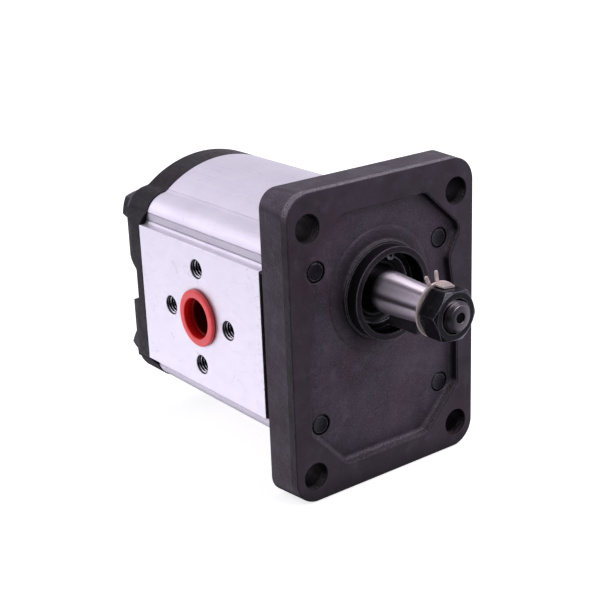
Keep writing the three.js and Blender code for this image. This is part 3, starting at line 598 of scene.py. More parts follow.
def flange_iron(tree, base):
    """The flange: a smoother machined face and register and a grainy recess, with painted shade that blackens
    its bores, creases and back boss and darkens its side faces, and painted light on the recess walls that
    face up.
    """
    grain = noise(tree, 1.5, 3.0, 0.65)
    pits = noise(tree, 0.5, 2.0, 0.5)
    y = along(tree, "Y")
    radius = from_axis(tree, "X", 0.0, "Z", DRIVE_Z)
    outward = beyond_outline(tree)
    hole = hypotenuse(away(tree, "X", 0.0) - FLANGE_HOLE_X, away(tree, "Z", PORT_Z) - FLANGE_HOLE_Z)
    off_face = spread(abs(y), 0.1, 0.3)
    register = spread(radius, PILOT_R + 0.1, PILOT_R + 0.5, 1.0, 0.0)
    cast = off_face * scaled(register, 1.0, 0.0)
    side = spread(outward, -0.6, -0.2)
    # The back boss, which painted shadow blackens below.
    shaded_back_boss = between(y, FLANGE_BACK_Y + 0.2, FLANGE_HIGH.y + 1, 0.2)
    # Painted shade: the seal bore is blackened and the mounting holes are darkened.
    bore = spread(radius, SEAL_BORE_R + 0.1, SEAL_BORE_R + 0.4, 0.05, 1.0)
    bore *= spread(hole, FLANGE_HOLE_R + 0.1, FLANGE_HOLE_R + 0.3, 0.3, 1.0)
    # Painted light on the recess walls that face up, painted shade on the others.
    painted_light_wall, painted_shade_wall = recess_walls(tree, y)
    # The machined face and the register are darker in their own tone; painted shade darkens the side faces
    # and blackens the bores.
    shade = scaled(off_face, 0.66, 1.0) * scaled(side, 1.0, 0.6) * scaled(register, 1.0, 0.3) * bore
    # Painted shade in a broad ring round the register's skirt.
    shade *= spread(radius, PILOT_R + 0.5, PILOT_R + 7.0, 0.45, 1.0)
    # Painted shadow blackens the back boss, and painted shade darkens the recess walls that do not face up.
    shade *= scaled(shaded_back_boss, 1.0, 0.03) * scaled(painted_shade_wall, 1.0, 0.12)
    colour = dimmed(cast_iron_colour(tree, base, grain, scaled(cast, 0.1, 0.55)), shade)
    # Painted light: the walls that face up are made paler, broken by the grain.
    painted_wall_light = painted_light_wall * spread(grain, 0.35, 0.6) * 0.9
    colour = mixed(painted_wall_light, colour, grey(base * 4.0, (1.0, 0.9, 0.98)))
    # Painted shade in holes and creases, reaching 10 mm.
    colour = dimmed(colour, painted_cavity_shade(tree, 10.0, 0.5, 0.97, 0.08))
    near_register = spread(radius, PILOT_R + 0.8, PILOT_R + 1.2, 1.0, 0.0)
    wear_and_highlight_zone = spread(outward, -3.5, -2.5).maths("MAXIMUM", near_register)
    # Brighter edges: partly rubbed wear, partly painted highlight lines, along the outer front rim and round
    # the register.
    edge = edge_share(tree, 0.6, 0.05, 0.16) * spread(pits, 0.3, 0.45, 0.5, 1.0) * wear_and_highlight_zone * 0.6
    cloud = noise(tree, 0.09, 4.0, 0.6)
    return {
        "Base Color": mixed(edge, colour, grey(0.38)),
        "Roughness": spread(cloud, 0.3, 0.7, 0.42, 0.58) * scaled(register, 1.0, 0.75),
        "Metallic": 0.1,
        "Specular IOR Level": bore * scaled(shaded_back_boss, 1.0, 0.02) * scaled(side, 1.0, 0.75) * 0.36,
        "Specular Tint": (1.0, 0.84, 1.06, 1.0),
        "Normal": bump((grain + pits * 1.2) * scaled(cast, 0.2, 1.0), 0.13),
    }


def cover_iron(tree, base):
    """The cover: thin black paint over sand grain, with rubbed edges."""
    grain = noise(tree, 1.2, 3.0, 0.6)
    pits = noise(tree, 0.5, 2.0, 0.5)
    # Painted shade in the cover's creases and gaps.
    colour = dimmed(cast_iron_colour(tree, base, grain, 0.12), painted_cavity_shade(tree, 5.0, 0.4, 0.95, 0.2))
    edge = edge_share(tree, 0.3, 0.02, 0.25) * spread(pits, 0.42, 0.6) * 0.6
    return {
        "Base Color": mixed(edge, colour, grey(0.2)),
        "Roughness": spread(pits, 0.3, 0.7, 0.42, 0.56),
        "Metallic": 0.1,
        "Specular IOR Level": 0.14,
        "Normal": bump(grain + pits, 0.05),
    }


def thread_root_shade(tree, in_hole):
    """A factor of painted shade that blackens the roots of the threads in the tapped holes."""
    way = away(tree, "Y", PORT_Y)
    up = away(tree, "Z", PORT_Z)
    roots = []
    for side, holes in ((-1, INLET_HOLES), (1, OUTLET_HOLES)):
        from_hole = hypotenuse(way.maths("MAXIMUM", up) - holes["circle"], way.maths("MINIMUM", up))
        root = spread(from_hole, holes["minor"] + 0.08, holes["minor"] + 0.4)
        roots.append(root * in_hole * spread(along(tree, "X") * side, 0.0, 1.0))
    return scaled(roots[0] + roots[1], 1.0, 0.03)


def aluminium_colour(tree, die_lines, scuff, off_pad):
    """Pale grey with die lines, stains and fine wandering scratches; the machined pads are brighter."""
    broad_lines = noise(tree, (0.55, 0.004, 0.55), 3.0, 0.6)
    smudge = noise(tree, 0.06, 4.0, 0.55)
    colour = mixed(spread(smudge, 0.35, 0.7), (0.82, 0.78, 0.87, 1), (0.765, 0.725, 0.825, 1))
    colour = mixed(off_pad, (0.845, 0.81, 0.895, 1), colour)
    colour = mixed(spread(die_lines, 0.46, 0.66) * off_pad * 0.14, colour, (0.58, 0.55, 0.65, 1))
    colour = mixed(spread(broad_lines, 0.6, 0.72) * off_pad * 0.12, colour, (0.5, 0.47, 0.56, 1))
    colour = mixed(spread(scuff, 0.66, 0.76) * 0.5, colour, (0.42, 0.36, 0.40, 1))
    wander = abs(noise(tree, (0.1, 0.05, 0.07), 2.0, 0.5) - 0.5)
    scratch = spread(wander, 0.001, 0.004, 1.0, 0.0) * spread(scuff, 0.42, 0.6) * 0.4
    return mixed(scratch, colour, (0.45, 0.42, 0.48, 1))


def extruded_aluminium(tree):
    """Pale aluminium with die lines along its length, and flat machined pads with faint handling marks."""
    die_lines = noise(tree, (2.6, 0.012, 2.6), 5.0, 0.65)
    fine_lines = noise(tree, (11.0, 0.05, 11.0), 2.0, 0.5)
    feed_marks = noise(tree, (1.0, 7.0, 0.05), 2.0, 0.5)
    scuff = noise(tree, (0.9, 0.16, 0.5), 5.0, 0.75)
    specks = noise(tree, (1.1, 0.9, 0.9), 4.0, 0.7)
    patch = noise(tree, 0.1, 2.0, 0.5)
    from_pad = PAD_X - away(tree, "X", 0.0)
    off_pad = spread(from_pad, 0.03, 0.12)
    on_side = spread(away(tree, "Z", PORT_Z), PAD_Z - 2, PAD_Z - 1.5, 1.0, 0.0)
    in_hole = on_side * spread(from_pad, 0.1, 0.25)
    # Painted shade: the tilted flat band between the fine groove and the lobe is made 20% darker.
    band = between(from_pad, 3.4, 4.5, 0.1) * (1.0 - on_side)
    flange_side = on_side * spread(along(tree, "Y"), HOUSING_LOW.y, HOUSING_LOW.y + 6, 1.0, 0.0)
    colour = dimmed(aluminium_colour(tree, die_lines, scuff, off_pad), scaled(band, 1.0, 0.8))
    dirt = spread(specks, 0.54, 0.66) * spread(patch, 0.42, 0.6) * flange_side * 0.55
    colour = mixed(dirt, colour, (0.2, 0.17, 0.2, 1))
    rough = scaled(off_pad, 0.38, 0.4) + spread(scuff, 0.4, 0.7) * 0.08
    return {
        # Painted shade in creases and holes, and painted shade that blackens the roots of the tapped threads.
        "Base Color": dimmed(colour, painted_cavity_shade(tree, 2.2, 0.3, 0.85, 0.3) * thread_root_shade(tree, in_hole)),
        "Roughness": rough * scaled(in_hole, 1.0, 0.35),
        "Metallic": 0.85,
        "Anisotropic": off_pad * scaled(in_hole, 0.6, 0.0),
        "Anisotropic Rotation": 0.25,
        "Tangent": add(tree, "CombineXYZ", {1: 1.0}),
        "Normal": bump(mixed(off_pad, feed_marks, die_lines + fine_lines), 0.015),
    }


def shaft_colour(tree, colour):
    """Darkens the thread, marks the taper, and paints shade in the centre hole and on the journal inside the
    seal, with a painted highlight round the end face's edge.
    """
    y = along(tree, "Y")
    radius = from_axis(tree, "X", 0.0, "Z", DRIVE_Z)
    thread_y = TAPER_SMALL_Y - 1.0
    past_thread = spread(y, thread_y - 0.3, thread_y + 0.3)
    end_face = spread(y, SHAFT_LOW.y + 0.05, SHAFT_LOW.y + 0.15, 0.2, 0.09)
    # Painted shade: the journal inside the seal and at the bore's mouth is nearly blackened.
    painted_bore_shade = spread(y, -4.0, -0.5) * spread(y, SEAL_HIGH.y, SEAL_HIGH.y + 2, 1.0, 0.0)
    # The thread is darkened to 0.09 of the steel's colour and the end face to 0.2.
    colour = dimmed(colour, past_thread.maths("MAXIMUM", end_face) * scaled(painted_bore_shade, 1.0, 0.05))
    marks = noise(tree, (0.3, 4.5, 0.3), 2.0, 0.6)
    colour = mixed(spread(marks, 0.62, 0.7) * past_thread * 0.14, colour, grey(0.194, STEEL_TINT))
    in_front = spread(y, thread_y - 3.0, thread_y - 2.0, 1.0, 0.0)
    # Painted shade blackens the centre hole.
    centre_hole_shade = spread(radius, 1.95, 2.05, 1.0, 0.0) * in_front
    colour = dimmed(colour, scaled(centre_hole_shade, 1.0, 0.04))
    # A painted highlight rings the edge of the end face.
    return mixed(between(radius, 4.4, 4.7, 0.1) * in_front, colour, grey(0.2))


def lathe_turned(tree, base, rough_low, rough_high, rings_per_mm, tint=STEEL_TINT, recolour=None):
    """Metal with fine turning rings round the y axis, which stretch its highlights lengthwise."""
    rings = noise(tree, (0.02, rings_per_mm, 0.02), 3.0, 0.6)
    scuff = noise(tree, (0.3, 1.6, 0.3), 3.0, 0.5)
    streak = spread(rings + scuff * 0.6, 0.75, 1.05)
    colour = mixed(streak, grey(base * 0.9, tint), grey(base, tint))
    if recolour:
        colour = recolour(tree, colour)
    return {
        # Painted shade in the hollows round the turned metal.
        "Base Color": dimmed(colour, painted_cavity_shade(tree, 4.0, 0.05, 0.4, 0.7)),
        "Roughness": scaled(streak, rough_high, rough_low),
        "Metallic": 1.0,
        "Anisotropic": spread(abs(facing(tree, "Y")), 0.5, 0.8, 0.95, 0.0),
        "Tangent": add(tree, "CombineXYZ", {1: 1.0}),
        "Normal": bump(rings, 0.0005),
    }


def shaft_steel(tree):
    return lathe_turned(tree, 0.97, 0.32, 0.36, 7.0, recolour=shaft_colour)


def black_oxide(tree, base, rough_low, rough_high, edge_mm, edge_wear_and_glint_tone):
    """Chemically blackened steel: glossy, with brighter edges that are partly rubbed wear and partly painted
    glints.
    """
    cloud = noise(tree, 0.35, 4.0, 0.6)
    grain = noise(tree, 5.0, 2.0, 0.5)
    colour = mixed(spread(cloud, 0.3, 0.7), grey(base), grey(base * 1.6))
    # Painted shade in the blackened part's hollows.
    colour = dimmed(colour, painted_cavity_shade(tree, 1.5, 0.25, 0.85, 0.2))
    # Brighter edges: partly rubbed wear, partly painted glints.
    edge = edge_share(tree, edge_mm, 0.02, 0.12) * spread(cloud, 0.35, 0.5, 0.6, 1.0) * 0.8
    return {
        "Base Color": mixed(edge, colour, grey(edge_wear_and_glint_tone, (0.95, 0.93, 1.08))),
        "Roughness": spread(cloud, 0.3, 0.7, rough_low, rough_high),
        "Metallic": 0.4,
        "Specular Tint": (0.85, 0.88, 1.0, 1.0),
        "Normal": bump(grain, 0.006),
    }


def zinc_plate(tree):
    """Bright plated sheet metal with soft rolling marks and dulled patches."""
    cloud = noise(tree, 0.6, 4.0, 0.6)
    return {
        "Base Color": mixed(spread(cloud, 0.35, 0.7), (0.76, 0.66, 0.64, 1), (0.55, 0.46, 0.43, 1)),
        "Roughness": spread(cloud, 0.3, 0.7, 0.34, 0.5),
        "Metallic": 0.6,
        "Normal": bump(noise(tree, (0.3, 0.3, 6.0), 3.0, 0.6), 0.006),
    }


def red_plastic(tree, hole_r):
    """Moulded polyethylene: softly glossy, with faint flow lines, and painted shade that turns it deep maroon
    down inside the cup.
    """
    flow = noise(tree, (0.12, 0.12, 0.5), 3.0, 0.5)
    grain = noise(tree, 3.5, 2.0, 0.5)
    reach = abs(along(tree, "X"))
    radius = from_axis(tree, "Y", PORT_Y, "Z", PORT_Z)
    in_hole = spread(radius, hole_r + 0.2, hole_r + 0.5, 1.0, 0.0)
    in_cup = in_hole * spread(reach, PAD_X + 1.45, PAD_X + 1.7, 1.0, 0.0)
    colour = mixed(spread(flow, 0.3, 0.7), (1.0, 0.085, 0.088, 1), (0.93, 0.06, 0.064, 1))
    # Painted shade: the cup's wall darkens from bright red near the rim to deep maroon further in.
    cup = mixed(spread(reach, PAD_X - 3.0, PAD_X + 1.5), (0.06, 0.0, 0.001, 1), (0.9, 0.014, 0.014, 1))
    return {
        "Base Color": mixed(in_cup, colour, cup),
        "Roughness": spread(grain, 0.3, 0.7, 0.28, 0.4),
        "Specular IOR Level": scaled(in_cup, 0.5, 0.25),
        "Specular Tint": mixed(in_cup, WHITE, (1.0, 0.12, 0.08, 1)),
        "Normal": bump(grain, 0.008),
    }


def rubber(tree):
    bloom = noise(tree, 0.4, 4.0, 0.6)
    return {
        "Base Color": mixed(spread(bloom, 0.35, 0.7), (0.010, 0.011, 0.014, 1), (0.022, 0.023, 0.028, 1)),
        "Roughness": spread(bloom, 0.3, 0.7, 0.28, 0.45),
        "Normal": bump(noise(tree, 4.0, 2.0, 0.5), 0.01),
    }


def pale_plastic(tree):
    cloud = noise(tree, 0.3, 3.0, 0.5)
    colour = mixed(spread(cloud, 0.3, 0.7), (0.82, 0.80, 0.74, 1), (0.74, 0.72, 0.66, 1))
    return {"Base Color": colour, "Roughness": 0.5, "Normal": bump(cloud, 0.01)}


FLANGE_LOOK = make_look("cast_iron", "flange_iron", flange_iron, 0.05)
COVER_LOOK = make_look("cover_iron", "cover_iron", cover_iron, 0.016)
HOUSING_LOOK = make_look("body_aluminium", "housing_aluminium", extruded_aluminium)
SHAFT_LOOK = make_look("ground_steel", "shaft_steel", shaft_steel)
KEY_LOOK = make_look("key_steel", "key_steel", black_oxide, 0.03, 0.35, 0.5, 0.25, 0.3)
NUT_LOOK = make_look("black_nut", "nut_black", black_oxide, 0.007, 0.16, 0.3, 0.5, 0.34)
BOLT_LOOK = make_look("black_bolt", "bolt_black", black_oxide, 0.012, 0.2, 0.34, 0.45, 0.3)
# The retaining ring's near-white edges are painted glints.
RING_LOOK = make_look("spring_steel", "ring_black", black_oxide, 0.012, 0.12, 0.25, 0.9, 1.0)
ZINC_LOOK = make_look("zinc_plate", "washer_zinc", zinc_plate)
SPRING_LOOK = make_look("spring_steel", "spring_steel", lathe_turned, 0.8, 0.16, 0.3, 4.0)
INLET_RED_LOOK = make_look("red_plastic", "inlet_plug_red", red_plastic, 8.1)
OUTLET_RED_LOOK = make_look("red_plastic", "outlet_plug_red", red_plastic, 5.1)
RUBBER_LOOK = make_look("seal_rubber", "seal_rubber", rubber)
BRONZE_LOOK = make_look("bush_bronze", "bush_bronze", lathe_turned, 0.55, 0.25, 0.4, 6.0, BRONZE_TINT)
BLOCK_LOOK = make_look("block_aluminium", "block_aluminium", lathe_turned, 0.70, 0.3, 0.42, 5.0)
BACKUP_LOOK = make_look("backup_plastic", "backup_plastic", pale_plastic)


# ---- Cutting tools ----


def drill(radius, low_y, high_y, x=0.0, z=0.0, mouth=0.0, steps=64):
    """A round hole along y, with a 45-degree mouth at its front."""
    past = 1.0
    profile = [(0, low_y - past), (radius + mouth + past, low_y - past), (radius, low_y + mouth)]
    if mouth == 0:
        profile = [(0, low_y - past), (radius, low_y - past)]
    profile += [(radius, high_y), (0, high_y)]
    return moved(lathe(profile, steps), x=x, z=z)


def drills(places, radius, low_y, high_y, mouth=0.0, steps=48):
    return [drill(radius, low_y, high_y, x, z, mouth, steps) for x, z in places]


def on_pad(shape, side, y, z):
    """Turns a tool's y axis into the body from the pad on one side; side is -1 for -x."""
    inward = Matrix.Rotation(math.radians(90 * side), 3, "Z")
    points, faces = shape
    return moved(([tuple(inward @ Vector(point)) for point in points], faces), side * PAD_X, y, z)


CORNERS = [(-1, 1), (1, 1), (-1, -1), (1, -1)]
BOLT_PLACES = [(sx * BOLT_PITCH, MID_Z + sz * BOLT_PITCH) for sx, sz in CORNERS]
DOWEL_PLACES = []
for dowel in ("dowel_front_1", "dowel_front_2"):
    dowel_low, dowel_high = box_mm(dowel)
    DOWEL_PLACES.append(((dowel_low.x + dowel_high.x) / 2, (dowel_low.z + dowel_high.z) / 2))
FLANGE_HOLE_PLACES = [(sx * FLANGE_HOLE_X, MID_Z + sz * FLANGE_HOLE_Z) for sx, sz in CORNERS]
DOWEL_R = 2.52
DOWEL_REACH = 4.05


# ---- Flange ----


def recess_tool():
    """The recess as a tool: a soft lip at the face, a drafted wall and a wide fillet at the floor."""
    fillet_r = 2.0
    lip_r = 0.5
    draft = 0.25
    levels = [(-1.0, -lip_r), (0.0, -lip_r)] + arc(0, 0, lip_r, -60, 0, 2)
    levels += arc(RECESS_DEPTH - fillet_r, draft + fillet_r, fillet_r, -90, 0, 6)
    return prism(recess_outline(), levels)


def pilot_shape():
    """The register ring: a machined nose, a small step and a cast skirt that blends into the recess."""
    front = FLANGE_LOW.y
    skirt_r = 24.6
    floor = RECESS_DEPTH
    profile = [(0, front), (PILOT_R - 0.45, front), (PILOT_R - 0.12, front + 0.14), (PILOT_R, front + 0.45)]
    profile += [(PILOT_R, 0.9), (PILOT_R + 0.06, 1.05), (PILOT_R + 0.7, 1.1), (PILOT_R + 0.85, 1.25)]
    for i in range(6):
        angle = math.radians(18 * i)
        profile.append((PILOT_R + 0.9 + 1.3 * (1 - math.cos(angle)), 1.5 + 1.0 * math.sin(angle)))
    profile += [(skirt_r - 1.4, floor - 0.55), (skirt_r - 0.5, floor - 0.3), (skirt_r, floor + 0.05)]
    profile += [(skirt_r + 0.1, floor + 1.0), (0, floor + 1.0)]
    return lathe(profile, 128)


def flange_casting():
    width = FLANGE_HIGH.x - FLANGE_LOW.x
    height = FLANGE_HIGH.z - FLANGE_LOW.z
    rise = (FLANGE_LOW.z + FLANGE_HIGH.z) / 2 - MID_Z
    rings = []
    for y, depth in round_levels(0, FLANGE_BACK_Y, 0.5, 0.6):
        corner_r = FLANGE_CORNER_R - FLANGE_CORNER_DRAFT * max(0.0, y) / FLANGE_BACK_Y
        outline = inset(rounded_rectangle(width, height, corner_r), depth)
        rings.append([(x, y, z + rise) for x, z in outline])
    piece = new_object("flange_casting", loft(rings))
    boss_levels = [(FLANGE_BACK_Y - 1, 0.0), (FLANGE_HIGH.y - 0.15, 0.0), (FLANGE_HIGH.y, 0.15)]
    join(piece, [prism(inset(housing_outline(), 0.35), boss_levels)])
    cut(piece, [recess_tool()])
    join(piece, [pilot_shape()])
    seal_back = SEAL_HIGH.y + 0.2
    past_back = FLANGE_HIGH.y + 1
    tools = [
        drill(SEAL_BORE_R, FLANGE_LOW.y, seal_back, mouth=0.35, steps=128),
        rod(SNAP_GROOVE_R, SNAP_LOW.y - 0.05, SNAP_HIGH.y + 0.05, 128),
        drill(JOURNAL_R + 0.8, 0, past_back, steps=96),
    ]
    tools += drills(FLANGE_HOLE_PLACES, FLANGE_HOLE_R, 0, past_back, 0.25, 72)
    tools += drills(BOLT_PLACES, BOLT_R + 0.1, RECESS_DEPTH, past_back, 0.2, 56)
    tools += drills(DOWEL_PLACES, DOWEL_R, FLANGE_HIGH.y - DOWEL_REACH + 1, past_back, steps=32)
    cut(piece, tools)
    cut_face_groove(piece, FLANGE_HIGH.y - 1.7, past_back)
    return finished(piece, FLANGE_LOOK, "casing", "front_flange")


def cut_face_groove(piece, low_y, high_y):
    """The seal groove round both bores, cut as a ring."""
    ring = new_object("groove_ring", prism(stadium(23.0), [(low_y, 0), (high_y, 0)]))
    cut(ring, [prism(stadium(21.2), [(low_y - 1, 0), (high_y + 1, 0)])])
    merge(piece, ring, "DIFFERENCE")


# ---- Gear housing ----

PLUS = [(1, 0), (-1, 0), (0, 1), (0, -1)]
GEAR_BORE_R = 19.35
INLET_BORE_R = 9.75
OUTLET_BORE_R = 6.75


def tapped_tools(side, holes):
    """Threaded holes in a plus pattern, each a screw shape with a countersunk mouth."""
    tools = []
    for dy, dz in PLUS:
        y = PORT_Y + dy * holes["circle"]
        z = MID_Z + dz * holes["circle"]
        thread = screw(holes["major"], holes["minor"], holes["pitch"], -0.5, holes["depth"], 48, 10)
        mouth_r = holes["major"] + 0.15
        sink_depth = mouth_r - holes["minor"]
        sink = lathe([(0, -1), (mouth_r + 1, -1), (holes["minor"], sink_depth), (0, sink_depth)], 48)
        tip_r = holes["minor"] - 0.1
        depth = holes["depth"]
        drill_tip = lathe([(0, depth - 1), (tip_r, depth - 1), (tip_r, depth + 1), (0, depth + 2.8)], 48)
        tools += [on_pad(tool, side, y, z) for tool in (thread, sink, drill_tip)]
    return tools


def housing_extrusion():
    levels = round_levels(HOUSING_LOW.y, HOUSING_HIGH.y, 0.25, 0.25, 2)
    piece = new_object("housing_extrusion", prism(housing_outline(), levels))
    bore = rod(GEAR_BORE_R, HOUSING_LOW.y - 1, HOUSING_HIGH.y + 1, 128)
    tools = [bore, moved(bore, z=DRIVEN_Z)]
    for side, radius in ((-1, INLET_BORE_R), (1, OUTLET_BORE_R)):
        port = drill(radius, 0, PAD_X - 8, mouth=0.3, steps=96)
        tools.append(on_pad(port, side, PORT_Y, MID_Z))
    tools += drills(BOLT_PLACES, BOLT_R + 0.5, HOUSING_LOW.y, HOUSING_HIGH.y + 1)
    tools += drills(DOWEL_PLACES, DOWEL_R, HOUSING_LOW.y, HOUSING_LOW.y + DOWEL_REACH, steps=32)
    tools += drills(DOWEL_PLACES, DOWEL_R, HOUSING_HIGH.y - DOWEL_REACH + 1, HOUSING_HIGH.y + 1, steps=32)
    tools += tapped_tools(-1, INLET_HOLES)
    tools += tapped_tools(1, OUTLET_HOLES)
    cut(piece, tools)
    return finished(piece, HOUSING_LOOK, "casing", "gear_housing")


# ---- Rear cover ----

COVER_SIDE_ROUND = 10.5
COVER_RIM_R = 3.4
NOTCH_FLOOR_Y = COVER_HIGH.y - 11.8
NOTCH_INNER_X = PAD_X - 7.6


def side_rounded_form():
    """A block that keeps the cover's rear corners beside the pads to one wide radius."""
    low_z = HOUSING_LOW.z - 2
    high_z = HOUSING_HIGH.z + 2
    quarter = arc(PAD_X - COVER_SIDE_ROUND, COVER_HIGH.y - COVER_SIDE_ROUND, COVER_SIDE_ROUND, 0, 90, 14)
    plan = [(PAD_X, COVER_LOW.y - 1)] + quarter
    plan += [(-x, y) for x, y in plan[::-1]]
    return loft([[(x, y, z) for x, y in plan] for z in (low_z, high_z)])


def bolt_column(x, z):
    """Round metal kept at full height about a bolt, with a soft rim."""
    radius = 10.2
    top = COVER_HIGH.y
    side = 1 if x > 0 else -1
    level = 1 if z > MID_Z else -1
    profile = [(0, COVER_LOW.y - 1), (radius, COVER_LOW.y - 1)]
    profile += arc(radius - 1.6, top - 1.6, 1.6, 0, 90, 6) + [(0, top)]
    return moved(lathe(profile, 96), x=side * (LOBE_X + 0.1), z=MID_Z + level * (LOBE_Z - 0.1))


def notch_tool(side):
    """The relief in the middle of the cover's side: square at the bottom, sloped at the top."""
    outer_y = COVER_HIGH.y + 2
    slope = 0.83
    corners = [
        (NOTCH_FLOOR_Y, -4.0, 0.9), (outer_y, -9.0, 1.0),
        (outer_y, 8.9 + slope * (outer_y - NOTCH_FLOOR_Y), 1.0), (NOTCH_FLOOR_Y, 8.9, 0.9),
    ]
    outline = filleted([(y, z + MID_Z, r) for y, z, r in corners], 6)
    return loft([[(side * x, y, z) for y, z in outline] for x in (NOTCH_INNER_X, PAD_X + 2)])


def cover_casting():
    levels = round_levels(COVER_LOW.y, COVER_HIGH.y, 0.25, COVER_RIM_R, 6)
    piece = new_object("cover_casting", prism(cover_outline(), levels))
    form = new_object("edge_form", side_rounded_form())
    join(form, [bolt_column(x, z) for x, z in BOLT_PLACES])
    merge(piece, form, "INTERSECT")
    tools = [notch_tool(-1), notch_tool(1)]
    tools += drills(BOLT_PLACES, BOLT_R + 0.5, COVER_LOW.y, COVER_HIGH.y + 1)
    tools += drills(DOWEL_PLACES, DOWEL_R, COVER_LOW.y, COVER_LOW.y + DOWEL_REACH, steps=32)
    cut(piece, tools)
    cut_face_groove(piece, COVER_LOW.y - 1, COVER_LOW.y + 1.7)
    return finished(piece, COVER_LOOK, "casing", "rear_cover")


# ---- Drive shaft and its fasteners ----


def involute(angle):
    return math.tan(angle) - angle


def gear_outline(first_tooth, teeth=12, module=2.75, pressure=math.radians(25)):
    """A spur gear whose first tooth points in a direction in degrees."""
    pitch_r = module * teeth / 2
    tip_r = pitch_r + module
    root_r = pitch_r - 1.25 * module
    base_r = pitch_r * math.cos(pressure)

    def half_angle(radius):
        at_pitch = (math.pi * module / 2 - 0.1) / (2 * pitch_r)
        return at_pitch + involute(pressure) - involute(math.acos(min(1.0, base_r / radius)))

    flank = [base_r + (tip_r - base_r) * i / 7 for i in range(8)]
    points = []
    for tooth in range(teeth):
        centre = math.radians(first_tooth) + 2 * math.pi * tooth / teeth
        foot = half_angle(base_r) + 0.06
        polar = [(root_r, centre - foot)] + [(r, centre - half_angle(r)) for r in flank]
        polar += [(r, centre + half_angle(r)) for r in flank[::-1]] + [(root_r, centre + foot)]
        points += [(r * math.cos(a), r * math.sin(a)) for r, a in polar]
    return points


def taper_radius(y):
    return TAPER_BIG_R + (y - TAPER_BIG_Y) * TAPER_SLOPE


def key_shape(grow):
    """The Woodruff key: a disc segment with a flat top and lightly broken edges."""
    disc_r = 8.0
    height = KEY_HIGH.z - KEY_LOW.z
    centre_y = (KEY_LOW.y + KEY_HIGH.y) / 2
    centre_z = KEY_LOW.z - (disc_r - height)
    top = KEY_LOW.z - (0.5 if grow else 0)
    flat = math.degrees(math.asin((centre_z - top) / disc_r))
    outline = arc(centre_y, centre_z, disc_r + grow, flat, 180 - flat, 40)
    half_width = (KEY_HIGH.x - KEY_LOW.x) / 2 + grow
    levels = [(-half_width, 0), (half_width, 0)]
    if not grow:
        edge = 0.25
        levels = [(-half_width, edge), (-half_width + edge, 0), (half_width - edge, 0), (half_width, edge)]
    return loft([[(x, y, z) for y, z in inset(outline, depth)] for x, depth in levels])


def drive_shaft():
    end_y = SHAFT_LOW.y
    thread_end = TAPER_SMALL_Y - 1.6
    neck_r = 5.1
    back = SHAFT_HIGH.y
    profile = [(0, end_y + 5.4), (1.75, end_y + 4.6), (1.75, end_y + 0.35), (2.0, end_y + 0.1), (2.15, end_y)]
    profile += [(4.35, end_y), (4.6, end_y + 0.12), (THREAD_R - 0.62, end_y + 0.95)]
    profile += [(THREAD_R - 0.62, thread_end), (neck_r, thread_end + 0.2), (neck_r, TAPER_SMALL_Y - 0.3)]
    profile += [(neck_r + 0.3, TAPER_SMALL_Y), (taper_radius(TAPER_SMALL_Y) - 0.3, TAPER_SMALL_Y)]
    profile += [(taper_radius(TAPER_SMALL_Y), TAPER_SMALL_Y + 0.3), (TAPER_BIG_R, TAPER_BIG_Y)]
    profile += [(JOURNAL_R - 0.1, TAPER_BIG_Y + 0.55), (JOURNAL_R, TAPER_BIG_Y + 0.8)]
    profile += [(JOURNAL_R, back - 0.9), (JOURNAL_R - 0.9, back), (0, back)]
    piece = new_object("drive_shaft_and_gear", lathe(profile, 128))
    thread = screw(THREAD_R, THREAD_R - 0.95, 1.5, end_y + 0.3, thread_end, 64, 12)
    gear_levels = round_levels(FRONT_BLOCK_HIGH.y + 0.1, REAR_BLOCK_LOW.y - 0.1, 0.3, 0.3, 2)
    join(piece, [prism(gear_outline(-90), gear_levels)])
    trimmed = new_object("thread_trimmed", thread)
    past_r = THREAD_R + 0.4
    cone = [(0, end_y), (4.6, end_y), (past_r, end_y + 1.9), (past_r, thread_end - 0.4)]
    cone += [(THREAD_R - 0.7, thread_end + 0.2), (0, thread_end + 0.2)]
    combine(trimmed, [lathe(cone, 96)], "INTERSECT")
    merge(piece, trimmed, "UNION")
    cut(piece, [key_shape(0.03)])
    return finished(piece, SHAFT_LOOK, "drive_shaft", "drive_gear_shaft")


def key_piece():
    piece = new_object("key_in_taper", key_shape(0))
    return finished(piece, KEY_LOOK, "drive_shaft", "woodruff_key")


def hex_form(outline_turn, across_flats, low_y, high_y, chamfer_low, chamfer_high):
    """A hexagon whose corners are turned off at 30 degrees at the ends that ask for it."""
    corner_r = across_flats / math.sqrt(3)
    flat_r = across_flats / 2
    slope = math.tan(math.radians(30))
    outline = filleted([(x, z, 0.5) for x, z in hexagon(across_flats, outline_turn)], 4)
    form = new_object("hex_form", prism(outline, [(low_y, 0), (high_y, 0)]))
    reach = corner_r + 0.2
    inner = flat_r - 0.25
    rise = (reach - inner) * slope
    profile = [(0, low_y)]
    profile += [(inner, low_y), (reach, low_y + rise)] if chamfer_low else [(reach, low_y)]
    profile += [(reach, high_y - rise), (inner, high_y)] if chamfer_high else [(reach, high_y)]
    profile += [(0, high_y)]
    return combine(form, [lathe(profile, 128)], "INTERSECT")


NUT_TURN = -6.5


def shaft_nut():
    piece = hex_form(NUT_TURN, 18, NUT_LOW.y, NUT_HIGH.y, True, True)
    piece.name = "hex_shaft_nut"
    hole_r = THREAD_R + 0.05
    mouth = [(0, NUT_LOW.y - 1), (6.9, NUT_LOW.y - 1), (6.65, NUT_LOW.y), (hole_r, NUT_LOW.y + 1.2)]
    mouth += [(hole_r, NUT_HIGH.y - 0.7), (hole_r + 1.7, NUT_HIGH.y + 1), (0, NUT_HIGH.y + 1)]
    cut(piece, [lathe(mouth, 96)])
    return finished(piece, NUT_LOOK, "drive_shaft", "shaft_nut")


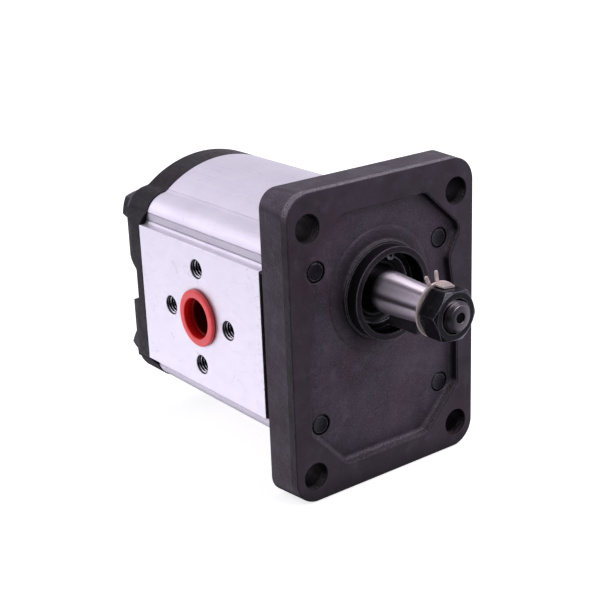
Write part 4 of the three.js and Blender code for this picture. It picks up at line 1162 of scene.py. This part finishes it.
def strip(path, width, thickness, direction):
    """A sheet strip along (radius, y) points, in the plane that stands in a direction from the axis."""
    angle = math.radians(direction)
    outward = Vector((math.cos(angle), 0, math.sin(angle)))
    across = Vector((-math.sin(angle), 0, math.cos(angle)))
    half = width / 2
    rings = []
    for i, (radius, y) in enumerate(path):
        near = Vector(path[max(i - 1, 0)])
        far = Vector(path[min(i + 1, len(path) - 1)])
        way = (far - near).normalized()
        side = outward * -way.y + Vector((0, way.x, 0))
        narrow = 0.35 if i in (0, len(path) - 1) else 0.0
        u = half - narrow
        v = thickness / 2
        corners = filleted([(-u, -v, 0.2), (u, -v, 0.2), (u, v, 0.2), (-u, v, 0.2)], 2)
        middle = outward * radius + Vector((0, y, 0))
        ring = [tuple(middle + across * u + side * v) for u, v in corners]
        rings.append(ring)
    return loft(rings)


def lock_washer():
    back = WASHER_HIGH.y
    front = NUT_HIGH.y + 0.1
    thickness = back - front
    middle = (front + back) / 2
    rim_r = 10.5
    rise = 0.25
    edge = 0.2
    ring = [(THREAD_R + 0.6, front), (rim_r - edge, front), (rim_r, front + edge)]
    ring += [(rim_r, back - edge), (rim_r - edge, back), (THREAD_R + 0.6, back)]
    piece = new_object("lock_tab_washer", moved(lathe(ring, 128), z=rise))
    thin = thickness - 0.04
    parts = [prong(110.3, 112.4, middle, thin), prong(90.4, 93.2, middle, thin)]
    flat_r = 9 + 0.2 + thickness / 2
    bend_r = 0.9
    path = [(7.6, middle), (flat_r - bend_r, middle)]
    path += arc(flat_r - bend_r, middle - bend_r, bend_r, 72, 0, 4)
    path += [(flat_r, middle - bend_r - 1.4), (flat_r, middle - bend_r - 2.6), (flat_r, front - 4.6)]
    parts.append(strip(path, 6.0, thin, NUT_TURN + 90))
    join(piece, parts)
    return finished(piece, ZINC_LOOK, "drive_shaft", "tab_washer")


def prong(root_way, tip_way, middle_y, thickness):
    """A narrow tongue from the washer's rim, swept a little sideways, with a rounded tip."""
    root = Vector(polar(9.6, root_way))
    tip = Vector(polar(15.0, tip_way))
    outward = (tip - root).normalized()
    across = Vector((outward.y, -outward.x))
    half = 0.72
    corners = []
    for place, side, radius in ((root, -1, 0.1), (tip, -1, 0.6), (tip, 1, 0.6), (root, 1, 0.1)):
        point = place + across * side * half
        corners.append((point.x, point.y, radius))
    outline = filleted(corners[::-1], 6)
    half_thick = thickness / 2
    return prism(outline, round_levels(middle_y - half_thick, middle_y + half_thick, 0.15, 0.15, 2))


# ---- Inside the pilot bore ----


def retaining_ring():
    """The internal ring with its gap and two eyelets at the top."""
    outer_r = SNAP_GROOVE_R - 0.15
    inner_r = 12.9
    gap = 24
    outline = arc(0, 0, outer_r, 90 + gap, 450 - gap, 80) + arc(0, 0, inner_r, 450 - gap, 90 + gap, 80)
    front = SNAP_LOW.y
    back = SNAP_HIGH.y
    piece = new_object("retaining_ring", prism(outline, round_levels(front, back, 0.35, 0.15, 3)))
    eyes = arc(0, 0, 13.2, 90 - gap, 90 + gap, 1)
    disc = [(0, front), (1.75, front), (1.9, front + 0.15), (1.9, back), (0, back)]
    join(piece, [moved(lathe(disc, 40), x=x, z=z) for x, z in eyes])
    cut(piece, drills(eyes, 0.9, front, back + 1, steps=32))
    return finished(piece, RING_LOOK, "casing", "snap_ring")


def lip_seal():
    back = SEAL_HIGH.y - SEAL_LOW.y
    case_r = SEAL_BORE_R - 0.05
    profile = [(9.35, 0.5), (9.9, 0.1), (10.4, 0), (10.7, 0.5), (11.6, 0.9), (12.3, 0.8), (12.8, 0.25)]
    profile += [(13.2, 0), (case_r - 0.3, 0), (case_r, 0.3), (case_r, back - 0.3), (case_r - 0.3, back)]
    profile += [(case_r - 1.4, back), (case_r - 1.4, 2), (10.7, 2), (10.4, 3.8), (10.4, 5.4), (9.4, 5.8)]
    profile += [(9.06, 4.8), (9.5, 2.0), (9.25, 1.0)]
    piece = new_object("lip_seal_ring", moved(lathe(profile, 128), y=SEAL_LOW.y))
    return finished(piece, RUBBER_LOOK, "casing", "shaft_lip_seal")


# ---- Through bolts ----

HEAD_TURNS = {1: 14, 2: 37, 3: 0, 4: 22}


def casing_bolt(number, x, z):
    node = "through_bolt_%d" % number
    low, high = box_mm(node)
    seat = box_mm("bolt_washer_%d" % number)[1].y
    root_r = BOLT_R - 0.35
    tip = low.y
    shank = [(0, tip + 0.25), (2.2, tip + 0.1), (2.9, tip), (3.2, tip), (root_r, tip + 0.5)]
    shank += [(root_r, tip + 7), (BOLT_R - 0.02, tip + 7.6), (BOLT_R - 0.02, seat + 1), (0, seat + 1)]
    piece = new_object("casing_bolt_%d" % number, lathe(shank, 56))
    thread = new_object("bolt_thread", screw(BOLT_R, BOLT_R - 0.6, 1.25, tip + 0.2, tip + 7.2, 48, 10))
    cone = [(0, tip), (3.15, tip), (BOLT_R + 0.2, tip + 1.05), (BOLT_R + 0.2, tip + 7.2), (0, tip + 7.2)]
    combine(thread, [lathe(cone, 56)], "INTERSECT")
    merge(piece, thread, "UNION")
    merge(piece, hex_form(HEAD_TURNS[number], 13, seat, high.y, False, True), "UNION")
    join(piece, [rod(5.9, seat, seat + 0.4, 64)])
    piece.data.transform(Matrix.Translation((x * MM, 0, z * MM)))
    return finished(piece, BOLT_LOOK, "casing", node)


def casing_washer(number, x, z):
    node = "bolt_washer_%d" % number
    low, high = box_mm(node)
    outer = (high.x - low.x) / 2
    profile = [(BOLT_R + 0.3, low.y), (outer - 0.2, low.y), (outer, low.y + 0.2), (outer, high.y - 0.45)]
    profile += [(outer - 0.15, high.y - 0.15), (outer - 0.5, high.y), (BOLT_R + 0.3, high.y)]
    piece = new_object("casing_washer_%d" % number, moved(lathe(profile, 72), x=x, z=z))
    return finished(piece, BOLT_LOOK, "casing", node)


# ---- Transit plugs ----


def transit_plug(name, node, side, look):
    """A moulded cup with a soft-edged rim and a small step inside, drawn along y from its rim inwards."""
    low, high = box_mm(node)
    rim_r = (high.z - low.z) / 2
    length = high.x - low.x
    rim_front = -1.75
    cup_end = length + rim_front
    cup_r = 9.65 if side < 0 else 6.65
    hole_r = cup_r - 1.55
    profile = [(0, cup_end - 1.6), (hole_r - 1.5, cup_end - 1.6), (hole_r - 1.1, cup_end - 1.5)]
    profile += [(hole_r - 0.9, cup_end - 1.2), (hole_r - 0.75, 2.4), (hole_r - 0.65, 2.1)]
    profile += [(hole_r - 0.4, 1.95), (hole_r - 0.2, 1.85), (hole_r - 0.05, 1.6)]
    profile += [(hole_r + 0.15, rim_front + 0.5), (hole_r + 0.3, rim_front + 0.14)]
    profile += [(hole_r + 0.65, rim_front), (rim_r - 0.9, rim_front), (rim_r - 0.4, rim_front + 0.12)]
    profile += [(rim_r - 0.1, rim_front + 0.42), (rim_r, rim_front + 0.85), (rim_r - 0.05, -0.35)]
    profile += [(rim_r - 0.35, -0.05), (cup_r + 0.1, -0.05), (cup_r, 0.1), (cup_r, cup_end - 1.0)]
    profile += [(cup_r - 0.3, cup_end - 0.3), (cup_r - 1.0, cup_end), (0, cup_end)]
    piece = new_object(name, on_pad(lathe(profile, 128), side, PORT_Y, MID_Z))
    return finished(piece, look, node, node)


# ---- Pieces that keep their CAD shape ----


def dress_hidden_nodes():
    at_each_end = {
        "bearing_block": BLOCK_LOOK,
        "pressure_seal": RUBBER_LOOK,
        "backup_ring": BACKUP_LOOK,
        "housing_seal": RUBBER_LOOK,
        "bush_drive": BRONZE_LOOK,
        "bush_driven": BRONZE_LOOK,
    }
    looks = {"driven_gear_shaft": SHAFT_LOOK, "seal_garter_spring": SPRING_LOOK}
    for end in ("front", "rear"):
        for name, its_look in at_each_end.items():
            looks["%s_%s" % (name, end)] = its_look
        for number in (1, 2):
            looks["dowel_%s_%d" % (end, number)] = SHAFT_LOOK
    for node, its_look in looks.items():
        dress(frame["nodes"][node], its_look)


# ---- Stage ----

CAMERA_PLACE = (-303.9, -350.7, 164.2)
CAMERA_TURN = {"azimuth": -36.944, "elevation": 19.771, "roll": -2.271}
CAMERA_LENS = 79.31
SENSOR_WIDTH = 36.0


def make_camera():
    """A long lens, left of the shaft and above it, turned slightly about its own axis."""
    turn = Matrix.Rotation(math.radians(CAMERA_TURN["azimuth"]), 4, "Z")
    turn @= Matrix.Rotation(math.radians(90 - CAMERA_TURN["elevation"]), 4, "X")
    turn @= Matrix.Rotation(math.radians(CAMERA_TURN["roll"]), 4, "Z")
    data = bpy.data.cameras.new("camera")
    data.lens = CAMERA_LENS
    data.sensor_width = SENSOR_WIDTH
    camera = bpy.data.objects.new("camera", data)
    camera.matrix_world = Matrix.Translation(to_frame(CAMERA_PLACE)) @ turn
    bpy.context.scene.collection.objects.link(camera)
    bpy.context.scene.camera = camera


def area_light(name, place, size, power, colour):
    """A square soft light that faces the middle of the pump."""
    data = bpy.data.lights.new(name, "AREA")
    data.size = size
    data.energy = power
    data.color = colour
    light = bpy.data.objects.new(name, data)
    middle = Vector((0, 0.04, DRIVE_HEIGHT + MID_Z * MM))
    light.location = middle + Vector(place)
    light.rotation_mode = "QUATERNION"
    light.rotation_quaternion = (middle - light.location).to_track_quat("-Z", "Y")
    bpy.context.scene.collection.objects.link(light)


# Brightness of the studio round the shaft's axis: degrees from +x towards +z, then the brightness.
# The brightest parts are a softbox at the upper left and the pale table at the lower left. A dimmer
# softbox reaches from the right side to overhead.
STUDIO_BANDS = [
    (-180, 0.25), (-178, 0.05), (-161, 0.05), (-154, 1.3), (-122, 1.3), (-110, 0.55), (-90, 0.35),
    (-78, 0.03), (-60, 0.03), (-45, 0.6), (15, 0.6), (35, 0.47), (48, 0.55), (62, 0.6), (84, 0.65),
    (92, 0.6), (98, 0.3), (106, 0.3), (116, 1.3), (165, 1.3), (172, 0.6), (180, 0.25),
]
STUDIO_PEAK = 1.3


def make_world():
    """A white backdrop to the camera. Reflections and light come from softboxes drawn as bands."""
    world = bpy.data.worlds.new("studio")
    bpy.context.scene.world = world
    world.use_nodes = True
    tree = world.node_tree
    way = add(tree, "TexCoord", output="Generated")
    x, y, z = (add(tree, "SeparateXYZ", {0: way}, axis) for axis in "XYZ")
    ramp = add(tree, "ValToRGB", {0: spread(z.maths("ARCTAN2", x), -math.pi, math.pi)})
    stops = ramp.socket.node.color_ramp.elements
    while len(stops) < len(STUDIO_BANDS):
        stops.new(0.5)
    for stop, (degrees, level) in zip(stops, STUDIO_BANDS):
        stop.position = (degrees + 180) / 360
        share = level / STUDIO_PEAK
        stop.color = (share, share * 0.965, share * 1.06, 1)
    to_right = spread(x, -0.1, 0.3)
    near = mixed(to_right, spread(y, -0.6, 0.4, 0.1, 1.0), spread(y, -0.8, -0.45, 0.1, 1.6))
    far = mixed(to_right, spread(y, 0.4, 0.8, 1.0, 1.25), spread(y, 0.0, 0.6, 1.0, 0.8))
    seen = add(tree, "LightPath", output="Is Camera Ray")
    strength = mixed(seen, near * far * STUDIO_PEAK, WHITE)
    feed(tree.nodes["Background"], {"Color": mixed(seen, ramp, WHITE), "Strength": strength})


def floor_finish(tree):
    seen = add(tree, "LightPath", output="Is Camera Ray")
    return {
        "Base Color": mixed(noise(tree, 0.002, 2.0, 0.5), grey(0.60, (1, 1, 1)), grey(0.64, (1, 1, 1))),
        "Roughness": 0.9,
        "Specular IOR Level": 0.1,
        "Emission Color": WHITE,
        "Emission Strength": scaled(seen, 0.15, 0.75),
    }


def make_floor():
    """A pale table: near white to the camera, dimmer as a source of light, and left out of reflections."""
    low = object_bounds()[0]
    size = 6.0
    mesh = bpy.data.meshes.new("floor")
    corners = [(-size, -size, 0), (size, -size, 0), (size, size, 0), (-size, size, 0)]
    mesh.from_pydata(corners, [], [(0, 1, 2, 3)])
    floor = bpy.data.objects.new("floor", mesh)
    floor.location = (0, 0, low.z - 0.0005)
    floor.visible_glossy = False
    mesh.materials.append(material("pale_floor", floor_finish))
    bpy.context.scene.collection.objects.link(floor)


# ---- Everything ----

flange_casting()
housing_extrusion()
cover_casting()
drive_shaft()
key_piece()
shaft_nut()
lock_washer()
retaining_ring()
lip_seal()
for index, (bolt_x, bolt_z) in enumerate(BOLT_PLACES):
    casing_bolt(index + 1, bolt_x, bolt_z)
    casing_washer(index + 1, bolt_x, bolt_z)
transit_plug("inlet_transit_plug", "inlet_plug", -1, INLET_RED_LOOK)
transit_plug("outlet_transit_plug", "outlet_plug", 1, OUTLET_RED_LOOK)
dress_hidden_nodes()

make_floor()
make_world()
area_light("overhead", (0.306, -0.09, 0.84), 0.6, 3.1, (1.0, 0.97, 1.0))
area_light("front_fill", (0.27, -0.8, 0.53), 0.5, 3.2, (1.0, 0.93, 1.04))
make_camera()
bpy.context.scene.view_settings.view_transform = "Standard"
